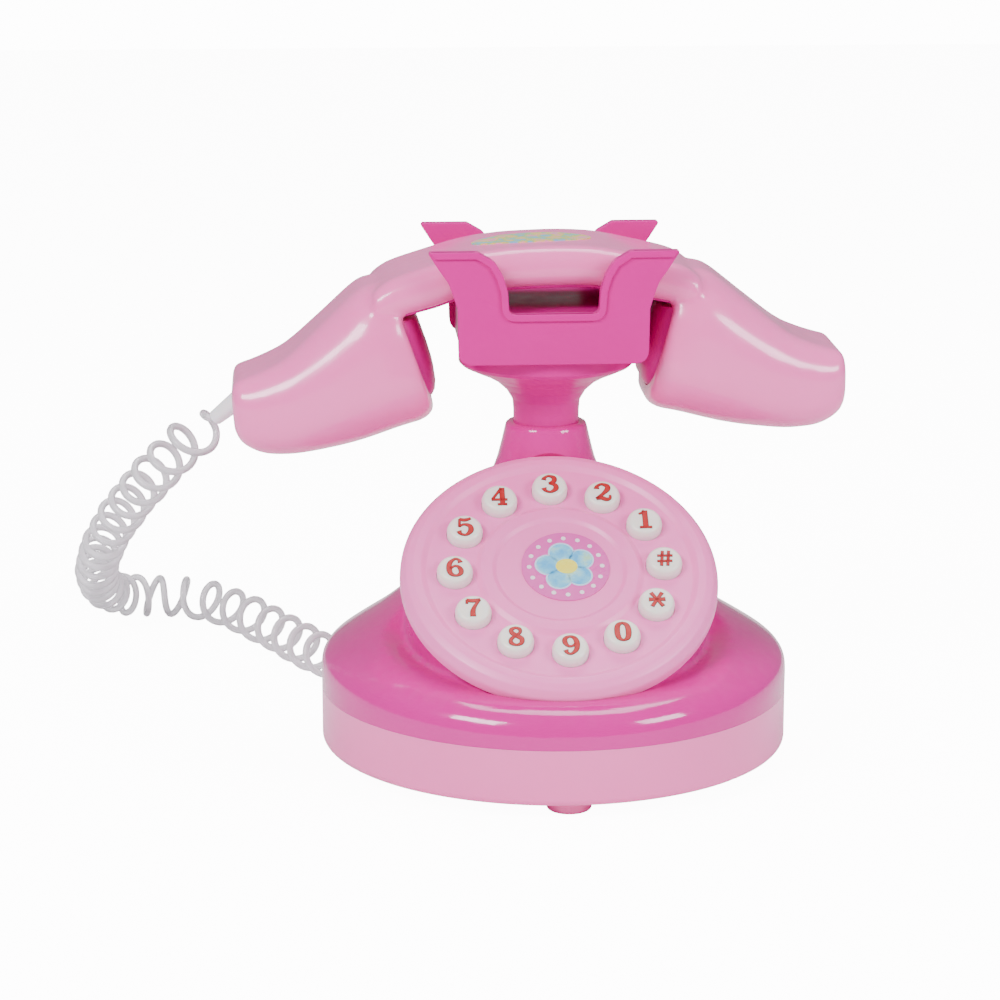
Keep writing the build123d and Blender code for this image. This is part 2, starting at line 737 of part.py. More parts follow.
def mouth_cap(side):
    """The domed grille that closes a cup's mouth."""
    low, high, half, corner = cup_sections[0]
    height = section_height(low, high)
    low = (side * low[0], low[1])
    high = (side * high[0], high[1])
    with BuildPart() as cap:
        for inset, rise in ((2.1, -2.0), (2.1, 0.3), (2.9, 1.3), (5.0, 2.3), (9.0, 2.9)):
            with BuildSketch(handset_plane(low, high, -side * rise)):
                RectangleRounded(2 * (half - inset), height - 2 * inset, corner - inset)
        loft(ruled=True)
        with BuildSketch(handset_plane(low, high, side * 2.0)):
            RectangleRounded(2 * (half - 4.0), height - 8.0, corner - 4.0)
        extrude(amount=-side * 2.0, mode=Mode.SUBTRACT)
        with BuildSketch(handset_plane(low, high, side * 3.0)):
            Circle(0.9)
            with PolarLocations(4.5, 6):
                Circle(0.9)
        extrude(amount=-side * 8.0, mode=Mode.SUBTRACT)
    return cap.part


with BuildPart() as inner_shell_blank:
    add(strip_form)
    add(mouth_cap(-1))
    add(mouth_cap(1))
    for spot in handset_screw_spots:
        with BuildSketch(Plane(origin=spot, z_dir=handset_up).offset(-2.0)):
            Circle(2.0)
        extrude(amount=2.7, mode=Mode.SUBTRACT)
        with BuildSketch(Plane(origin=spot, z_dir=handset_up).offset(-2.0)):
            Circle(1.0)
        extrude(amount=4.0, mode=Mode.SUBTRACT)

with BuildPart() as handset_inner_shell:
    add(inner_shell_blank.part - handset_outer_shell.part)
save(handset_inner_shell, "handset_inner_shell")

with BuildPart() as handset_screws:
    for spot in handset_screw_spots:
        with BuildSketch(Plane(origin=spot, z_dir=handset_up).offset(-0.3)):
            Circle(1.8)
        extrude(amount=1.0)
        with BuildSketch(Plane(origin=spot, z_dir=handset_up).offset(0.7)):
            Circle(0.9)
        extrude(amount=5.6)
        with BuildSketch(Plane(origin=spot, z_dir=handset_up).offset(-0.3)):
            Rectangle(2.2, 0.5)
            Rectangle(0.5, 2.2)
        extrude(amount=0.5, mode=Mode.SUBTRACT)
save(handset_screws, "handset_screws")

with BuildPart() as sticker_blank:
    with BuildSketch(Plane(origin=handset_point(0, 104.0), x_dir=(roll_cos, 0, roll_sin), z_dir=handset_up)):
        Ellipse(13.0, 6.0)
    extrude(amount=6.0)

with BuildPart() as handset_sticker:
    add((sticker_blank.part & grip_raised) - grip_outside)
save(handset_sticker, "handset_sticker")

# ---------------------------------------------------------------- cord
with BuildPart() as handset_cord_gland:
    with BuildSketch(Plane(origin=cord_start, z_dir=handset_gland_axis)):
        Circle(1.7)
    with BuildSketch(Plane(origin=cord_start - handset_gland_axis * 9.0, z_dir=handset_gland_axis)):
        Circle(2.25)
    loft()
save(handset_cord_gland, "handset_cord_gland")

with BuildPart() as base_cord_gland:
    with BuildSketch(Plane(origin=gland_end, z_dir=gland_axis)):
        Circle(1.8)
    with BuildSketch(Plane(origin=gland_end - gland_axis * 6.4, z_dir=gland_axis)):
        Circle(2.65)
    loft()
    with BuildSketch(Plane(origin=gland_end - gland_axis * 6.4, z_dir=gland_axis)):
        Circle(2.65)
    extrude(amount=-3.4)
    with BuildSketch(Plane(origin=gland_end - gland_axis * 8.6, z_dir=gland_axis)):
        Circle(3.2)
    extrude(amount=-1.2)
save(base_cord_gland, "base_cord_gland")


def corner_radii(points):
    """The bend at each inner point: 0.45 of the shorter run over the tangent of half the turn."""
    radii = []
    for before, here, after in zip(points, points[1:], points[2:]):
        one = Vector(*here) - Vector(*before)
        two = Vector(*after) - Vector(*here)
        turn = radians(one.get_angle(two))
        radii.append(0.45 * min(one.length, two.length) / tan(turn / 2))
    return radii


cord_bends = corner_radii(cord_route)
with BuildPart() as curly_cord:
    with BuildLine() as cord_line:
        FilletPolyline(*cord_route, radius=cord_bends)
    with BuildSketch(Plane(origin=cord_line.line @ 0, z_dir=cord_line.line % 0)):
        Circle(cord_radius)
    sweep(path=cord_line.line)
save(curly_cord, "curly_cord")
cord_length = sum(edge.length for edge in cord_line.edges())
cord_fill = curly_cord.part.volume / (pi * cord_radius**2 * cord_length)
print("cord length", round(cord_length, 1), "fill", round(cord_fill, 4))
print("cord bends", [round(bend, 1) for bend in cord_bends])
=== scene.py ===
from math import cos, pi, radians, sin, tan

import bmesh
import bpy
from mathutils import Matrix, Vector


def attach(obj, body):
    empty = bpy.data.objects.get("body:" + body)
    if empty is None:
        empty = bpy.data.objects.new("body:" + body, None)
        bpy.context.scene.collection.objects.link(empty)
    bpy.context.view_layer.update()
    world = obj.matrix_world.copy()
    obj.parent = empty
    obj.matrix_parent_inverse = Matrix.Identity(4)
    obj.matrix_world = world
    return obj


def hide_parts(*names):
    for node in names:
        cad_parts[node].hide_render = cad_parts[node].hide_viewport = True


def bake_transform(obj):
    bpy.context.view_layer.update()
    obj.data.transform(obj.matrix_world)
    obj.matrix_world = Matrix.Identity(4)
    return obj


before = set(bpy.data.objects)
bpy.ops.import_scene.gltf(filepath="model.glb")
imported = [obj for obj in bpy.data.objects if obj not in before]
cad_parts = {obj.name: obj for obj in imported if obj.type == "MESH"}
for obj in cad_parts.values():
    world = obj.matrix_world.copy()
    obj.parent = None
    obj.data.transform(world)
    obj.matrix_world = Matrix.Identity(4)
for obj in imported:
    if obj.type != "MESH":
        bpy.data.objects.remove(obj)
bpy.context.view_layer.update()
mm = 0.001
print("frame loaded")

# camera, a long lens a little above the dial
cameraSetup = {"place": (-55.43, -678.87, 220.26), "look": (0.06271, 0.96981, -0.23565), "lens": 117.97}


def addCamera(setup):
    data = bpy.data.cameras.new("tableCamera")
    data.lens = setup["lens"]
    data.sensor_width = 36.0
    camera = bpy.data.objects.new("tableCamera", data)
    camera.location = Vector(setup["place"]) * mm
    camera.rotation_euler = Vector(setup["look"]).to_track_quat("-Z", "Y").to_euler()
    bpy.context.scene.collection.objects.link(camera)
    bpy.context.scene.camera = camera


addCamera(cameraSetup)

# ---- helpers for meshes


def addPiece(name, mesh):
    obj = bpy.data.objects.new(name, mesh)
    bpy.context.scene.collection.objects.link(obj)
    return obj


def meshOf(name, verts, faces):
    # verts in millimetres
    mesh = bpy.data.meshes.new(name)
    mesh.from_pydata([Vector(v) * mm for v in verts], [], faces)
    mesh.validate()
    return mesh


def faceOut(mesh, merge=0.002):
    shape = bmesh.new()
    shape.from_mesh(mesh)
    bmesh.ops.remove_doubles(shape, verts=shape.verts, dist=merge * mm)
    bmesh.ops.recalc_face_normals(shape, faces=shape.faces)
    shape.to_mesh(mesh)
    shape.free()


def settle(obj):
    # turns live modifiers into a plain mesh
    graph = bpy.context.evaluated_depsgraph_get()
    mesh = bpy.data.meshes.new_from_object(obj.evaluated_get(graph), depsgraph=graph)
    obj.modifiers.clear()
    obj.data = mesh
    return obj


def shadeByAngle(obj, angle=38):
    obj.data.shade_smooth()
    obj.data.set_sharp_from_angle(angle=radians(angle))
    return obj


def loftPiece(name, rings):
    # a closed skin through rings with the same count of points
    count = len(rings[0])
    verts = [p for ring in rings for p in ring]
    faces = []
    for i in range(len(rings) - 1):
        for j in range(count):
            k = (j + 1) % count
            faces.append((i * count + j, i * count + k, (i + 1) * count + k, (i + 1) * count + j))
    for ring, start in ((rings[0], 0), (rings[-1], (len(rings) - 1) * count)):
        verts.append(sum((Vector(p) for p in ring), Vector()) / count)
        for j in range(count):
            faces.append((start + j, start + (j + 1) % count, len(verts) - 1))
    mesh = meshOf(name, verts, faces)
    faceOut(mesh)
    return addPiece(name, mesh)


def lathePiece(name, profile, place, segments=128):
    # profile runs from axis to axis as (radius, height)
    verts = []
    rows = []
    for radius, height in profile:
        if radius < 0.001:
            rows.append([len(verts)])
            verts.append(place @ Vector((0, 0, height)))
            continue
        rows.append(list(range(len(verts), len(verts) + segments)))
        for j in range(segments):
            angle = 2 * pi * j / segments
            verts.append(place @ Vector((radius * cos(angle), radius * sin(angle), height)))
    faces = []
    for low, high in zip(rows, rows[1:]):
        for j in range(segments):
            k = (j + 1) % segments
            ends = [low[j % len(low)], low[k % len(low)], high[k % len(high)], high[j % len(high)]]
            face = []
            for corner in ends:
                if corner not in face:
                    face.append(corner)
            if len(face) > 2:
                faces.append(face)
    mesh = meshOf(name, verts, faces)
    faceOut(mesh)
    return addPiece(name, mesh)


def prismPiece(name, outline, place, low, high):
    # a flat outline given a thickness along the place's own Z
    count = len(outline)
    verts = [place @ Vector((x, y, low)) for x, y in outline]
    verts += [place @ Vector((x, y, high)) for x, y in outline]
    faces = [tuple(range(count)), tuple(range(count, 2 * count))]
    for j in range(count):
        k = (j + 1) % count
        faces.append((j, k, count + k, count + j))
    mesh = meshOf(name, verts, faces)
    faceOut(mesh)
    return addPiece(name, mesh)


def softCorners(points, closed=False, steps=5):
    # rounds the corners of an outline whose points are (x, y, bend)
    path = []
    count = len(points)
    for i, (x, y, bend) in enumerate(points):
        here = Vector((x, y))
        if bend == 0 or (not closed and i in (0, count - 1)):
            path.append(here)
            continue
        back = Vector(points[i - 1][:2]) - here
        ahead = Vector(points[(i + 1) % count][:2]) - here
        reach = min(bend / tan(back.angle(ahead) / 2), 0.49 * back.length, 0.49 * ahead.length)
        start = here + back.normalized() * reach
        end = here + ahead.normalized() * reach
        for k in range(steps + 1):
            t = k / steps
            path.append(start * (1 - t) ** 2 + here * 2 * t * (1 - t) + end * t * t)
    return path


def between(before, a, b, after, t):
    # one number on a smooth curve from a to b
    return 0.5 * (
        2 * a
        + (b - before) * t
        + (2 * before - 5 * a + 4 * b - after) * t * t
        + (3 * a - before - 3 * b + after) * t**3
    )


def easeRows(rows, steps):
    # more rows of numbers between the given ones, on smooth curves
    made = []
    for i in range(len(rows) - 1):
        before = rows[max(i - 1, 0)]
        after = rows[min(i + 2, len(rows) - 1)]
        for k in range(steps):
            t = k / steps
            made.append(tuple(
                between(p, a, b, q, t) for p, a, b, q in zip(before, rows[i], rows[i + 1], after)
            ))
    made.append(tuple(rows[-1]))
    return made


def joinPieces(name, pieces):
    shape = bmesh.new()
    for piece in pieces:
        shape.from_mesh(piece.data)
        bpy.data.objects.remove(piece)
    mesh = bpy.data.meshes.new(name)
    shape.to_mesh(mesh)
    shape.free()
    return addPiece(name, mesh)


def weld(obj, grain, rounds):
    # one even skin over overlapping forms, with its creases eased
    remesh = obj.modifiers.new("weld", "REMESH")
    remesh.mode = "VOXEL"
    remesh.voxel_size = grain * mm
    ease = obj.modifiers.new("ease", "SMOOTH")
    ease.factor = 0.5
    ease.iterations = rounds
    return settle(obj)


def carve(obj, cutters, operation="DIFFERENCE"):
    for cutter in cutters:
        cut = obj.modifiers.new("cut", "BOOLEAN")
        cut.operation = operation
        cut.solver = "EXACT"
        cut.object = cutter
        settle(obj)
        bpy.data.objects.remove(cutter)
    return obj


def bevelEdges(obj, width, segments=3, angle=30):
    bevel = obj.modifiers.new("bevel", "BEVEL")
    bevel.width = width * mm
    bevel.segments = segments
    bevel.limit_method = "ANGLE"
    bevel.angle_limit = radians(angle)
    return settle(obj)


def finishPiece(obj, body, replaced, materials):
    obj.data.materials.clear()
    for material in materials:
        obj.data.materials.append(material)
    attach(obj, body)
    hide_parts(*replaced)
    print("made", obj.name, len(obj.data.polygons), "faces")


def placeOf(origin, xAxis, zAxis):
    x = Vector(xAxis).normalized()
    z = Vector(zAxis).normalized()
    place = Matrix.Identity(4)
    for i, axis in enumerate((x, z.cross(x), z, Vector(origin))):
        place.col[i].xyz = axis
    return place


# ---- shader groups


def startGroup(name, inputs, outputs):
    group = bpy.data.node_groups.new(name, "ShaderNodeTree")
    for label, value in inputs:
        socket = group.interface.new_socket(label, in_out="INPUT", socket_type="NodeSocketFloat")
        socket.default_value = value
    for label in outputs:
        group.interface.new_socket(label, in_out="OUTPUT", socket_type="NodeSocketFloat")
    return group, group.nodes.new("NodeGroupInput"), group.nodes.new("NodeGroupOutput")


def addNode(tree, kind, **settings):
    node = tree.nodes.new(kind)
    for key, value in settings.items():
        setattr(node, key, value)
    return node


def addNoise(tree, where, scale, detail):
    noise = addNode(tree, "ShaderNodeTexNoise")
    noise.inputs["Detail"].default_value = detail
    tree.links.new(where, noise.inputs["Vector"])
    if isinstance(scale, (int, float)):
        noise.inputs["Scale"].default_value = scale
    else:
        tree.links.new(scale, noise.inputs["Scale"])
    return noise.outputs["Fac"]


def addRange(tree, value, low, high):
    # spreads a 0.3 to 0.7 noise between low and high, which may be sockets
    spread = addNode(tree, "ShaderNodeMapRange")
    spread.inputs["From Min"].default_value = 0.3
    spread.inputs["From Max"].default_value = 0.7
    tree.links.new(value, spread.inputs["Value"])
    for key, end in (("To Min", low), ("To Max", high)):
        if isinstance(end, (int, float)):
            spread.inputs[key].default_value = end
        else:
            tree.links.new(end, spread.inputs[key])
    return spread.outputs["Result"]


def mouldedSkinGroup():
    # the cloudiness, gloss patches and fine orange peel of moulded plastic
    group, given, out = startGroup(
        "mouldedSkin",
        [("Cloud Size", 60.0), ("Peel Size", 900.0), ("Tone Low", 0.96), ("Gloss Low", 0.2),
         ("Gloss High", 0.3)],
        ["Tone", "Roughness", "Height"],
    )
    where = group.nodes.new("ShaderNodeTexCoord").outputs["Object"]
    cloud = addNoise(group, where, given.outputs["Cloud Size"], 3.0)
    peel = addNoise(group, where, given.outputs["Peel Size"], 2.0)
    patch = addNoise(group, where, 240.0, 5.0)
    group.links.new(addRange(group, cloud, given.outputs["Tone Low"], 1.0), out.inputs["Tone"])
    gloss = addRange(group, patch, given.outputs["Gloss Low"], given.outputs["Gloss High"])
    group.links.new(gloss, out.inputs["Roughness"])
    group.links.new(peel, out.inputs["Height"])
    return group


def handledDustGroup():
    # a little dust on upward faces, broken up
    group, given, out = startGroup("handledDust", [("Amount", 0.1), ("Speck Size", 500.0)], ["Mask"])
    where = group.nodes.new("ShaderNodeTexCoord").outputs["Object"]
    facing = addNode(group, "ShaderNodeSeparateXYZ")
    group.links.new(group.nodes.new("ShaderNodeNewGeometry").outputs["Normal"], facing.inputs["Vector"])
    specks = addRange(group, addNoise(group, where, given.outputs["Speck Size"], 4.0), 0.0, 1.0)
    up = addNode(group, "ShaderNodeMath", operation="MULTIPLY", use_clamp=True)
    group.links.new(facing.outputs["Z"], up.inputs[0])
    group.links.new(specks, up.inputs[1])
    share = addNode(group, "ShaderNodeMath", operation="MULTIPLY", use_clamp=True)
    group.links.new(up.outputs[0], share.inputs[0])
    group.links.new(given.outputs["Amount"], share.inputs[1])
    group.links.new(share.outputs[0], out.inputs["Mask"])
    return group


mouldedSkin = mouldedSkinGroup()
handledDust = handledDustGroup()


def startMaterial(name, settings):
    material = bpy.data.materials.new(name)
    material.use_nodes = True
    tree = material.node_tree
    shader = tree.nodes["Principled BSDF"]
    for key, value in settings.items():
        shader.inputs[key].default_value = value
    return material, tree, shader


def mixColour(tree, how, share, first, second):
    mix = addNode(tree, "ShaderNodeMix", data_type="RGBA", blend_type=how)
    for socket, value in ((mix.inputs[0], share), (mix.inputs[6], first), (mix.inputs[7], second)):
        if isinstance(value, (int, float, tuple)):
            socket.default_value = value
        else:
            tree.links.new(value, socket)
    return mix.outputs[2]


def plasticMaterial(name, colour, look, settings):
    material, tree, shader = startMaterial(name, settings)
    skin = addNode(tree, "ShaderNodeGroup", node_tree=mouldedSkin)
    for key in ("Cloud Size", "Peel Size", "Tone Low", "Gloss Low", "Gloss High"):
        skin.inputs[key].default_value = look[key]
    dust = addNode(tree, "ShaderNodeGroup", node_tree=handledDust)
    dust.inputs["Amount"].default_value = look["dust"]
    dust.inputs["Speck Size"].default_value = 420.0
    toned = mixColour(tree, "MIX", skin.outputs["Tone"], look["deep"], colour)
    dusty = mixColour(tree, "MIX", dust.outputs["Mask"], toned, (0.86, 0.84, 0.84, 1))
    tree.links.new(dusty, shader.inputs["Base Color"])
    tree.links.new(skin.outputs["Roughness"], shader.inputs["Roughness"])
    bump = addNode(tree, "ShaderNodeBump")
    bump.inputs["Strength"].default_value = look["peel"]
    bump.inputs["Distance"].default_value = 0.00004
    tree.links.new(skin.outputs["Height"], bump.inputs["Height"])
    tree.links.new(bump.outputs["Normal"], shader.inputs["Normal"])
    return material


def finish(
    cloud=60.0, peelSize=900.0, tone=0.93, low=0.2, high=0.3, dust=0.03, peel=0.15, deep=(0.5, 0.1, 0.3, 1),
):
    return {
        "Cloud Size": cloud, "Peel Size": peelSize, "Tone Low": tone, "Gloss Low": low,
        "Gloss High": high, "dust": dust, "peel": peel, "deep": deep,
    }


palePink = plasticMaterial(
    "palePink", (1.0, 0.16, 0.50, 1), finish(low=0.20, high=0.27, deep=(0.98, 0.11, 0.42, 1), tone=0.85),
    {"Coat Weight": 0.35, "Coat Roughness": 0.08, "Subsurface Weight": 0.12, "Subsurface Scale": 0.002,
     "Subsurface Radius": (1.0, 0.45, 0.6)},
)
dialPink = plasticMaterial(
    "dialPink", (1.0, 0.20, 0.57, 1), finish(low=0.34, high=0.44, deep=(0.98, 0.14, 0.47, 1), tone=0.85),
    {"Coat Weight": 0.1, "Coat Roughness": 0.2, "Subsurface Weight": 0.12, "Subsurface Scale": 0.002,
     "Subsurface Radius": (1.0, 0.45, 0.6)},
)
hotPink = plasticMaterial(
    "hotPink", (0.64, 0.0, 0.27, 1),
    finish(low=0.30, high=0.40, deep=(0.50, 0.0, 0.19, 1), tone=0.8, dust=0.015),
    {"Specular IOR Level": 0.12},
)
coverPink = plasticMaterial(
    "coverPink", (0.66, 0.0, 0.29, 1),
    finish(low=0.10, high=0.16, deep=(0.52, 0.0, 0.20, 1), tone=0.8, dust=0.015),
    {"Coat Weight": 0.3, "Coat Roughness": 0.04, "Specular IOR Level": 0.4},
)
ivory = plasticMaterial(
    "ivory", (0.88, 0.85, 0.79, 1), finish(low=0.26, high=0.36, deep=(0.80, 0.70, 0.66, 1), tone=0.8),
    {"Coat Weight": 0.2, "Subsurface Weight": 0.2, "Subsurface Scale": 0.001},
)
inkRed = plasticMaterial(
    "inkRed", (0.50, 0.012, 0.012, 1),
    finish(low=0.42, high=0.55, deep=(0.30, 0.006, 0.006, 1), tone=0.5, cloud=900.0),
    {"Coat Weight": 0.0},
)
# dark maroon for a ribbon round each key sign: painted shade along the sign's edges, not ink
paintedSignShade = plasticMaterial(
    "paintedSignShade", (0.10, 0.012, 0.012, 1), finish(low=0.5, high=0.6, deep=(0.05, 0.004, 0.004, 1), tone=0.6),
    {"Coat Weight": 0.0},
)
softWhite = plasticMaterial(
    "softWhite", (0.93, 0.89, 0.95, 1), finish(low=0.3, high=0.42, deep=(0.84, 0.78, 0.87, 1)),
    {"Subsurface Weight": 0.2, "Subsurface Scale": 0.001},
)
membraneGrey = plasticMaterial("membraneGrey", (0.62, 0.62, 0.63, 1), finish(low=0.5, high=0.6), {})
boardGreen = plasticMaterial(
    "boardGreen", (0.02, 0.18, 0.05, 1), finish(low=0.25, high=0.4, deep=(0.01, 0.1, 0.03, 1)), {},
)
chipBlack = plasticMaterial("chipBlack", (0.02, 0.02, 0.022, 1), finish(low=0.3, high=0.4), {})
cellBlue = plasticMaterial(
    "cellBlue", (0.03, 0.07, 0.3, 1), finish(low=0.2, high=0.3, deep=(0.02, 0.04, 0.2, 1)), {},
)
coneGrey = plasticMaterial("coneGrey", (0.07, 0.065, 0.06, 1), finish(low=0.5, high=0.65), {})
platedSteel = plasticMaterial(
    "platedSteel", (0.62, 0.62, 0.64, 1), finish(low=0.2, high=0.36, dust=0.02, deep=(0.45, 0.45, 0.46, 1)),
    {"Metallic": 1.0},
)
magnetGrey = plasticMaterial(
    "magnetGrey", (0.2, 0.2, 0.21, 1),
    finish(low=0.35, high=0.5, deep=(0.14, 0.14, 0.15, 1)), {"Metallic": 0.9},
)
stickerPink = plasticMaterial(
    "stickerPink", (0.72, 0.075, 0.42, 1),
    finish(low=0.25, high=0.35, deep=(0.60, 0.05, 0.34, 1), cloud=200.0), {},
)
dotWhite = plasticMaterial("dotWhite", (0.92, 0.82, 0.90, 1), finish(low=0.25, high=0.35, tone=0.9), {})
petalRim = plasticMaterial(
    "petalRim", (0.50, 0.68, 0.90, 1), finish(low=0.25, high=0.35, deep=(0.4, 0.55, 0.85, 1)), {},
)
heartYellow = plasticMaterial(
    "heartYellow", (0.86, 0.74, 0.04, 1),
    finish(low=0.25, high=0.35, deep=(0.75, 0.80, 0.12, 1), tone=0.5, cloud=500.0), {},
)


def tintedPrint(name, stops, size):
    # a print whose colour drifts between a few inks
    material, tree, shader = startMaterial(name, {"Coat Weight": 0.3})
    skin = addNode(tree, "ShaderNodeGroup", node_tree=mouldedSkin)
    skin.inputs["Cloud Size"].default_value = size
    skin.inputs["Tone Low"].default_value = 0.0
    ramp = addNode(tree, "ShaderNodeValToRGB")
    while len(ramp.color_ramp.elements) < len(stops):
        ramp.color_ramp.elements.new(0.5)
    for element, (place, colour) in zip(ramp.color_ramp.elements, stops):
        element.position = place
        element.color = colour
    tree.links.new(skin.outputs["Tone"], ramp.inputs["Fac"])
    tree.links.new(ramp.outputs["Color"], shader.inputs["Base Color"])
    tree.links.new(skin.outputs["Roughness"], shader.inputs["Roughness"])
    return material


petalBlue = tintedPrint(
    "petalBlue",
    [(0.15, (0.07, 0.42, 0.78, 1)), (0.5, (0.16, 0.56, 0.80, 1)), (0.75, (0.30, 0.66, 0.72, 1)),
     (0.95, (0.40, 0.70, 0.45, 1))],
    330.0,
)
gripPrint = tintedPrint(
    "gripPrint",
    [(0.1, (0.85, 0.30, 0.55, 1)), (0.4, (0.90, 0.62, 0.10, 1)), (0.6, (0.35, 0.62, 0.20, 1)),
     (0.85, (0.20, 0.50, 0.75, 1))],
    420.0,
)


def clearCordMaterial():
    material, tree, shader = startMaterial(
        "clearCord", {"Transmission Weight": 0.6, "IOR": 1.35, "Coat Weight": 0.2},
    )
    skin = addNode(tree, "ShaderNodeGroup", node_tree=mouldedSkin)
    skin.inputs["Cloud Size"].default_value = 180.0
    skin.inputs["Gloss Low"].default_value = 0.12
    skin.inputs["Gloss High"].default_value = 0.24
    tree.links.new(
        mixColour(tree, "MIX", skin.outputs["Tone"], (0.84, 0.78, 0.90, 1), (0.98, 0.95, 1.0, 1)),
        shader.inputs["Base Color"],
    )
    tree.links.new(skin.outputs["Roughness"], shader.inputs["Roughness"])
    return material


clearCord = clearCordMaterial()
print("materials made")

# ---- curly cord, first of the pieces
curlyCord = {
    "coil": 10.6, "wire": 1.7, "stepsPerTurn": 30, "sides": 10, "easeTurns": 0.55,
    # share of the length and turns made by then: open, tight round the bend, open again
    "turns": [(0, 0), (0.34, 8.0), (0.40, 10.0), (0.55, 16.5), (0.60, 18.2), (0.66, 19.8), (1, 27.5)],
}
cordRoute = [
    (-0.0722, 0.0222, 0.0694), (-0.0797, 0.0266, 0.0626), (-0.0874, 0.0400, 0.0522),
    (-0.0930, 0.0532, 0.0432), (-0.0976, 0.0652, 0.0348), (-0.1012, 0.0770, 0.0262),
    (-0.1034, 0.0882, 0.0178), (-0.1026, 0.0984, 0.0108), (-0.0976, 0.1066, 0.0066),
    (-0.0886, 0.1104, 0.0054), (-0.0790, 0.1072, 0.0054), (-0.0710, 0.0978, 0.0054),
    (-0.0640, 0.0850, 0.0054), (-0.0574, 0.0718, 0.0054), (-0.0516, 0.0584, 0.0056),
    (-0.0466, 0.0464, 0.0070), (-0.0402, 0.0382, 0.0086),
]


def routeLine(points):
    # the points of one smooth spline through the route
    curve = bpy.data.curves.new("cordRoute", "CURVE")
    curve.dimensions = "3D"
    curve.resolution_u = 24
    spline = curve.splines.new("NURBS")
    spline.points.add(len(points) - 1)
    for point, place in zip(spline.points, points):
        point.co = (*place, 1.0)
    spline.order_u = 3
    spline.use_endpoint_u = True
    holder = addPiece("cordRoute", curve)
    graph = bpy.context.evaluated_depsgraph_get()
    mesh = bpy.data.meshes.new_from_object(holder.evaluated_get(graph), depsgraph=graph)
    line = [v.co.copy() for v in mesh.vertices]
    bpy.data.objects.remove(holder)
    return line


def alongLine(line):
    # for each point: distance so far, place, and two axes that don't twist
    rows = []
    side = Vector((0, 0, 1)).cross(line[1] - line[0]).normalized()
    gone = 0.0
    for i, place in enumerate(line):
        ahead = (line[min(i + 1, len(line) - 1)] - line[max(i - 1, 0)]).normalized()
        side = (side - ahead * side.dot(ahead)).normalized()
        rows.append((gone, place, side.copy(), ahead.cross(side)))
        if i + 1 < len(line):
            gone += (line[i + 1] - place).length
    return rows


def coilPoints(rows, setup):
    length = rows[-1][0]
    turns = setup["turns"]
    total = int(turns[-1][1] * setup["stepsPerTurn"])
    radius = (setup["coil"] - setup["wire"]) / 2 * mm
    points = []
    row = 0
    for step in range(total + 1):
        turn = step / setup["stepsPerTurn"]
        low, high = next((a, b) for a, b in zip(turns, turns[1:]) if turn <= b[1] + 1e-6)
        share = low[0] + (high[0] - low[0]) * (turn - low[1]) / (high[1] - low[1])
        gone = length * min(share, 1.0)
        while row < len(rows) - 2 and rows[row + 1][0] < gone:
            row += 1
        first, second = rows[row], rows[row + 1]
        t = (gone - first[0]) / max(second[0] - first[0], 1e-9)
        fromEnd = min(turn, turns[-1][1] - turn) / setup["easeTurns"]
        grown = min(fromEnd, 1.0) ** 0.8
        wobble = 1 + 0.02 * sin(turn * 2.4)
        angle = 2 * pi * turn
        out = first[2].lerp(second[2], t) * cos(angle) + first[3].lerp(second[3], t) * sin(angle)
        points.append(first[1].lerp(second[1], t) + out.normalized() * radius * grown * wobble)
    return points


def wireMesh(name, points, radius, sides):
    verts = []
    faces = []
    side = Vector((0, 0, 1)).cross(points[1] - points[0]).normalized()
    for i, place in enumerate(points):
        ahead = (points[min(i + 1, len(points) - 1)] - points[max(i - 1, 0)]).normalized()
        side = (side - ahead * side.dot(ahead)).normalized()
        other = ahead.cross(side)
        for k in range(sides):
            angle = 2 * pi * k / sides
            verts.append(place + (side * cos(angle) + other * sin(angle)) * radius)
        if i:
            start = (i - 1) * sides
            for k in range(sides):
                m = (k + 1) % sides
                faces.append((start + k, start + m, start + sides + m, start + sides + k))
    faces.append(tuple(range(sides)))
    faces.append(tuple(range(len(verts) - sides, len(verts))))
    mesh = bpy.data.meshes.new(name)
    mesh.from_pydata(verts, [], faces)
    faceOut(mesh, 0.0001)
    mesh.shade_smooth()
    return mesh


def makeCord(setup, route):
    line = routeLine(route)
    rows = alongLine(line)
    wire = wireMesh("curlyCord", coilPoints(rows, setup), setup["wire"] / 2 * mm, setup["sides"])
    coil = addPiece("curlyCord", wire)
    coil.data.materials.append(clearCord)
    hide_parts("curly_cord")
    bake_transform(coil)
    print("cord made,", round(rows[-1][0], 4), "m along its middle")


makeCord(curlyCord, cordRoute)

# ---- base cover: shoulder, dial drum and neck in one moulding
baseCover = {"radius": 50.0, "seam": 15.05, "drum": 31.8, "bore": 29.4, "pocket": 33.7, "grain": 0.72}
# centre in Y, height, radius and tilt of each ring of the shoulder
shoulderRings = [
    (0.0, 11.0, 50.0, 0.0), (0.0, 15.5, 50.0, 1.5), (0.0, 20.5, 50.0, 2.9), (0.2, 23.4, 49.2, 3.4),
    (0.8, 25.6, 47.8, 4.2), (2.2, 28.4, 45.0, 6.6), (4.5, 31.0, 41.6, 10.8), (8.0, 34.2, 37.0, 22.0),
    (12.0, 37.8, 31.0, 28.0), (16.0, 44.0, 23.5, 28.0), (19.5, 51.5, 16.2, 22.0), (21.5, 58.0, 11.6, 10.0),
    (22.0, 61.5, 10.3, 0.0), (22.0, 67.9, 8.8, 0.0),
]
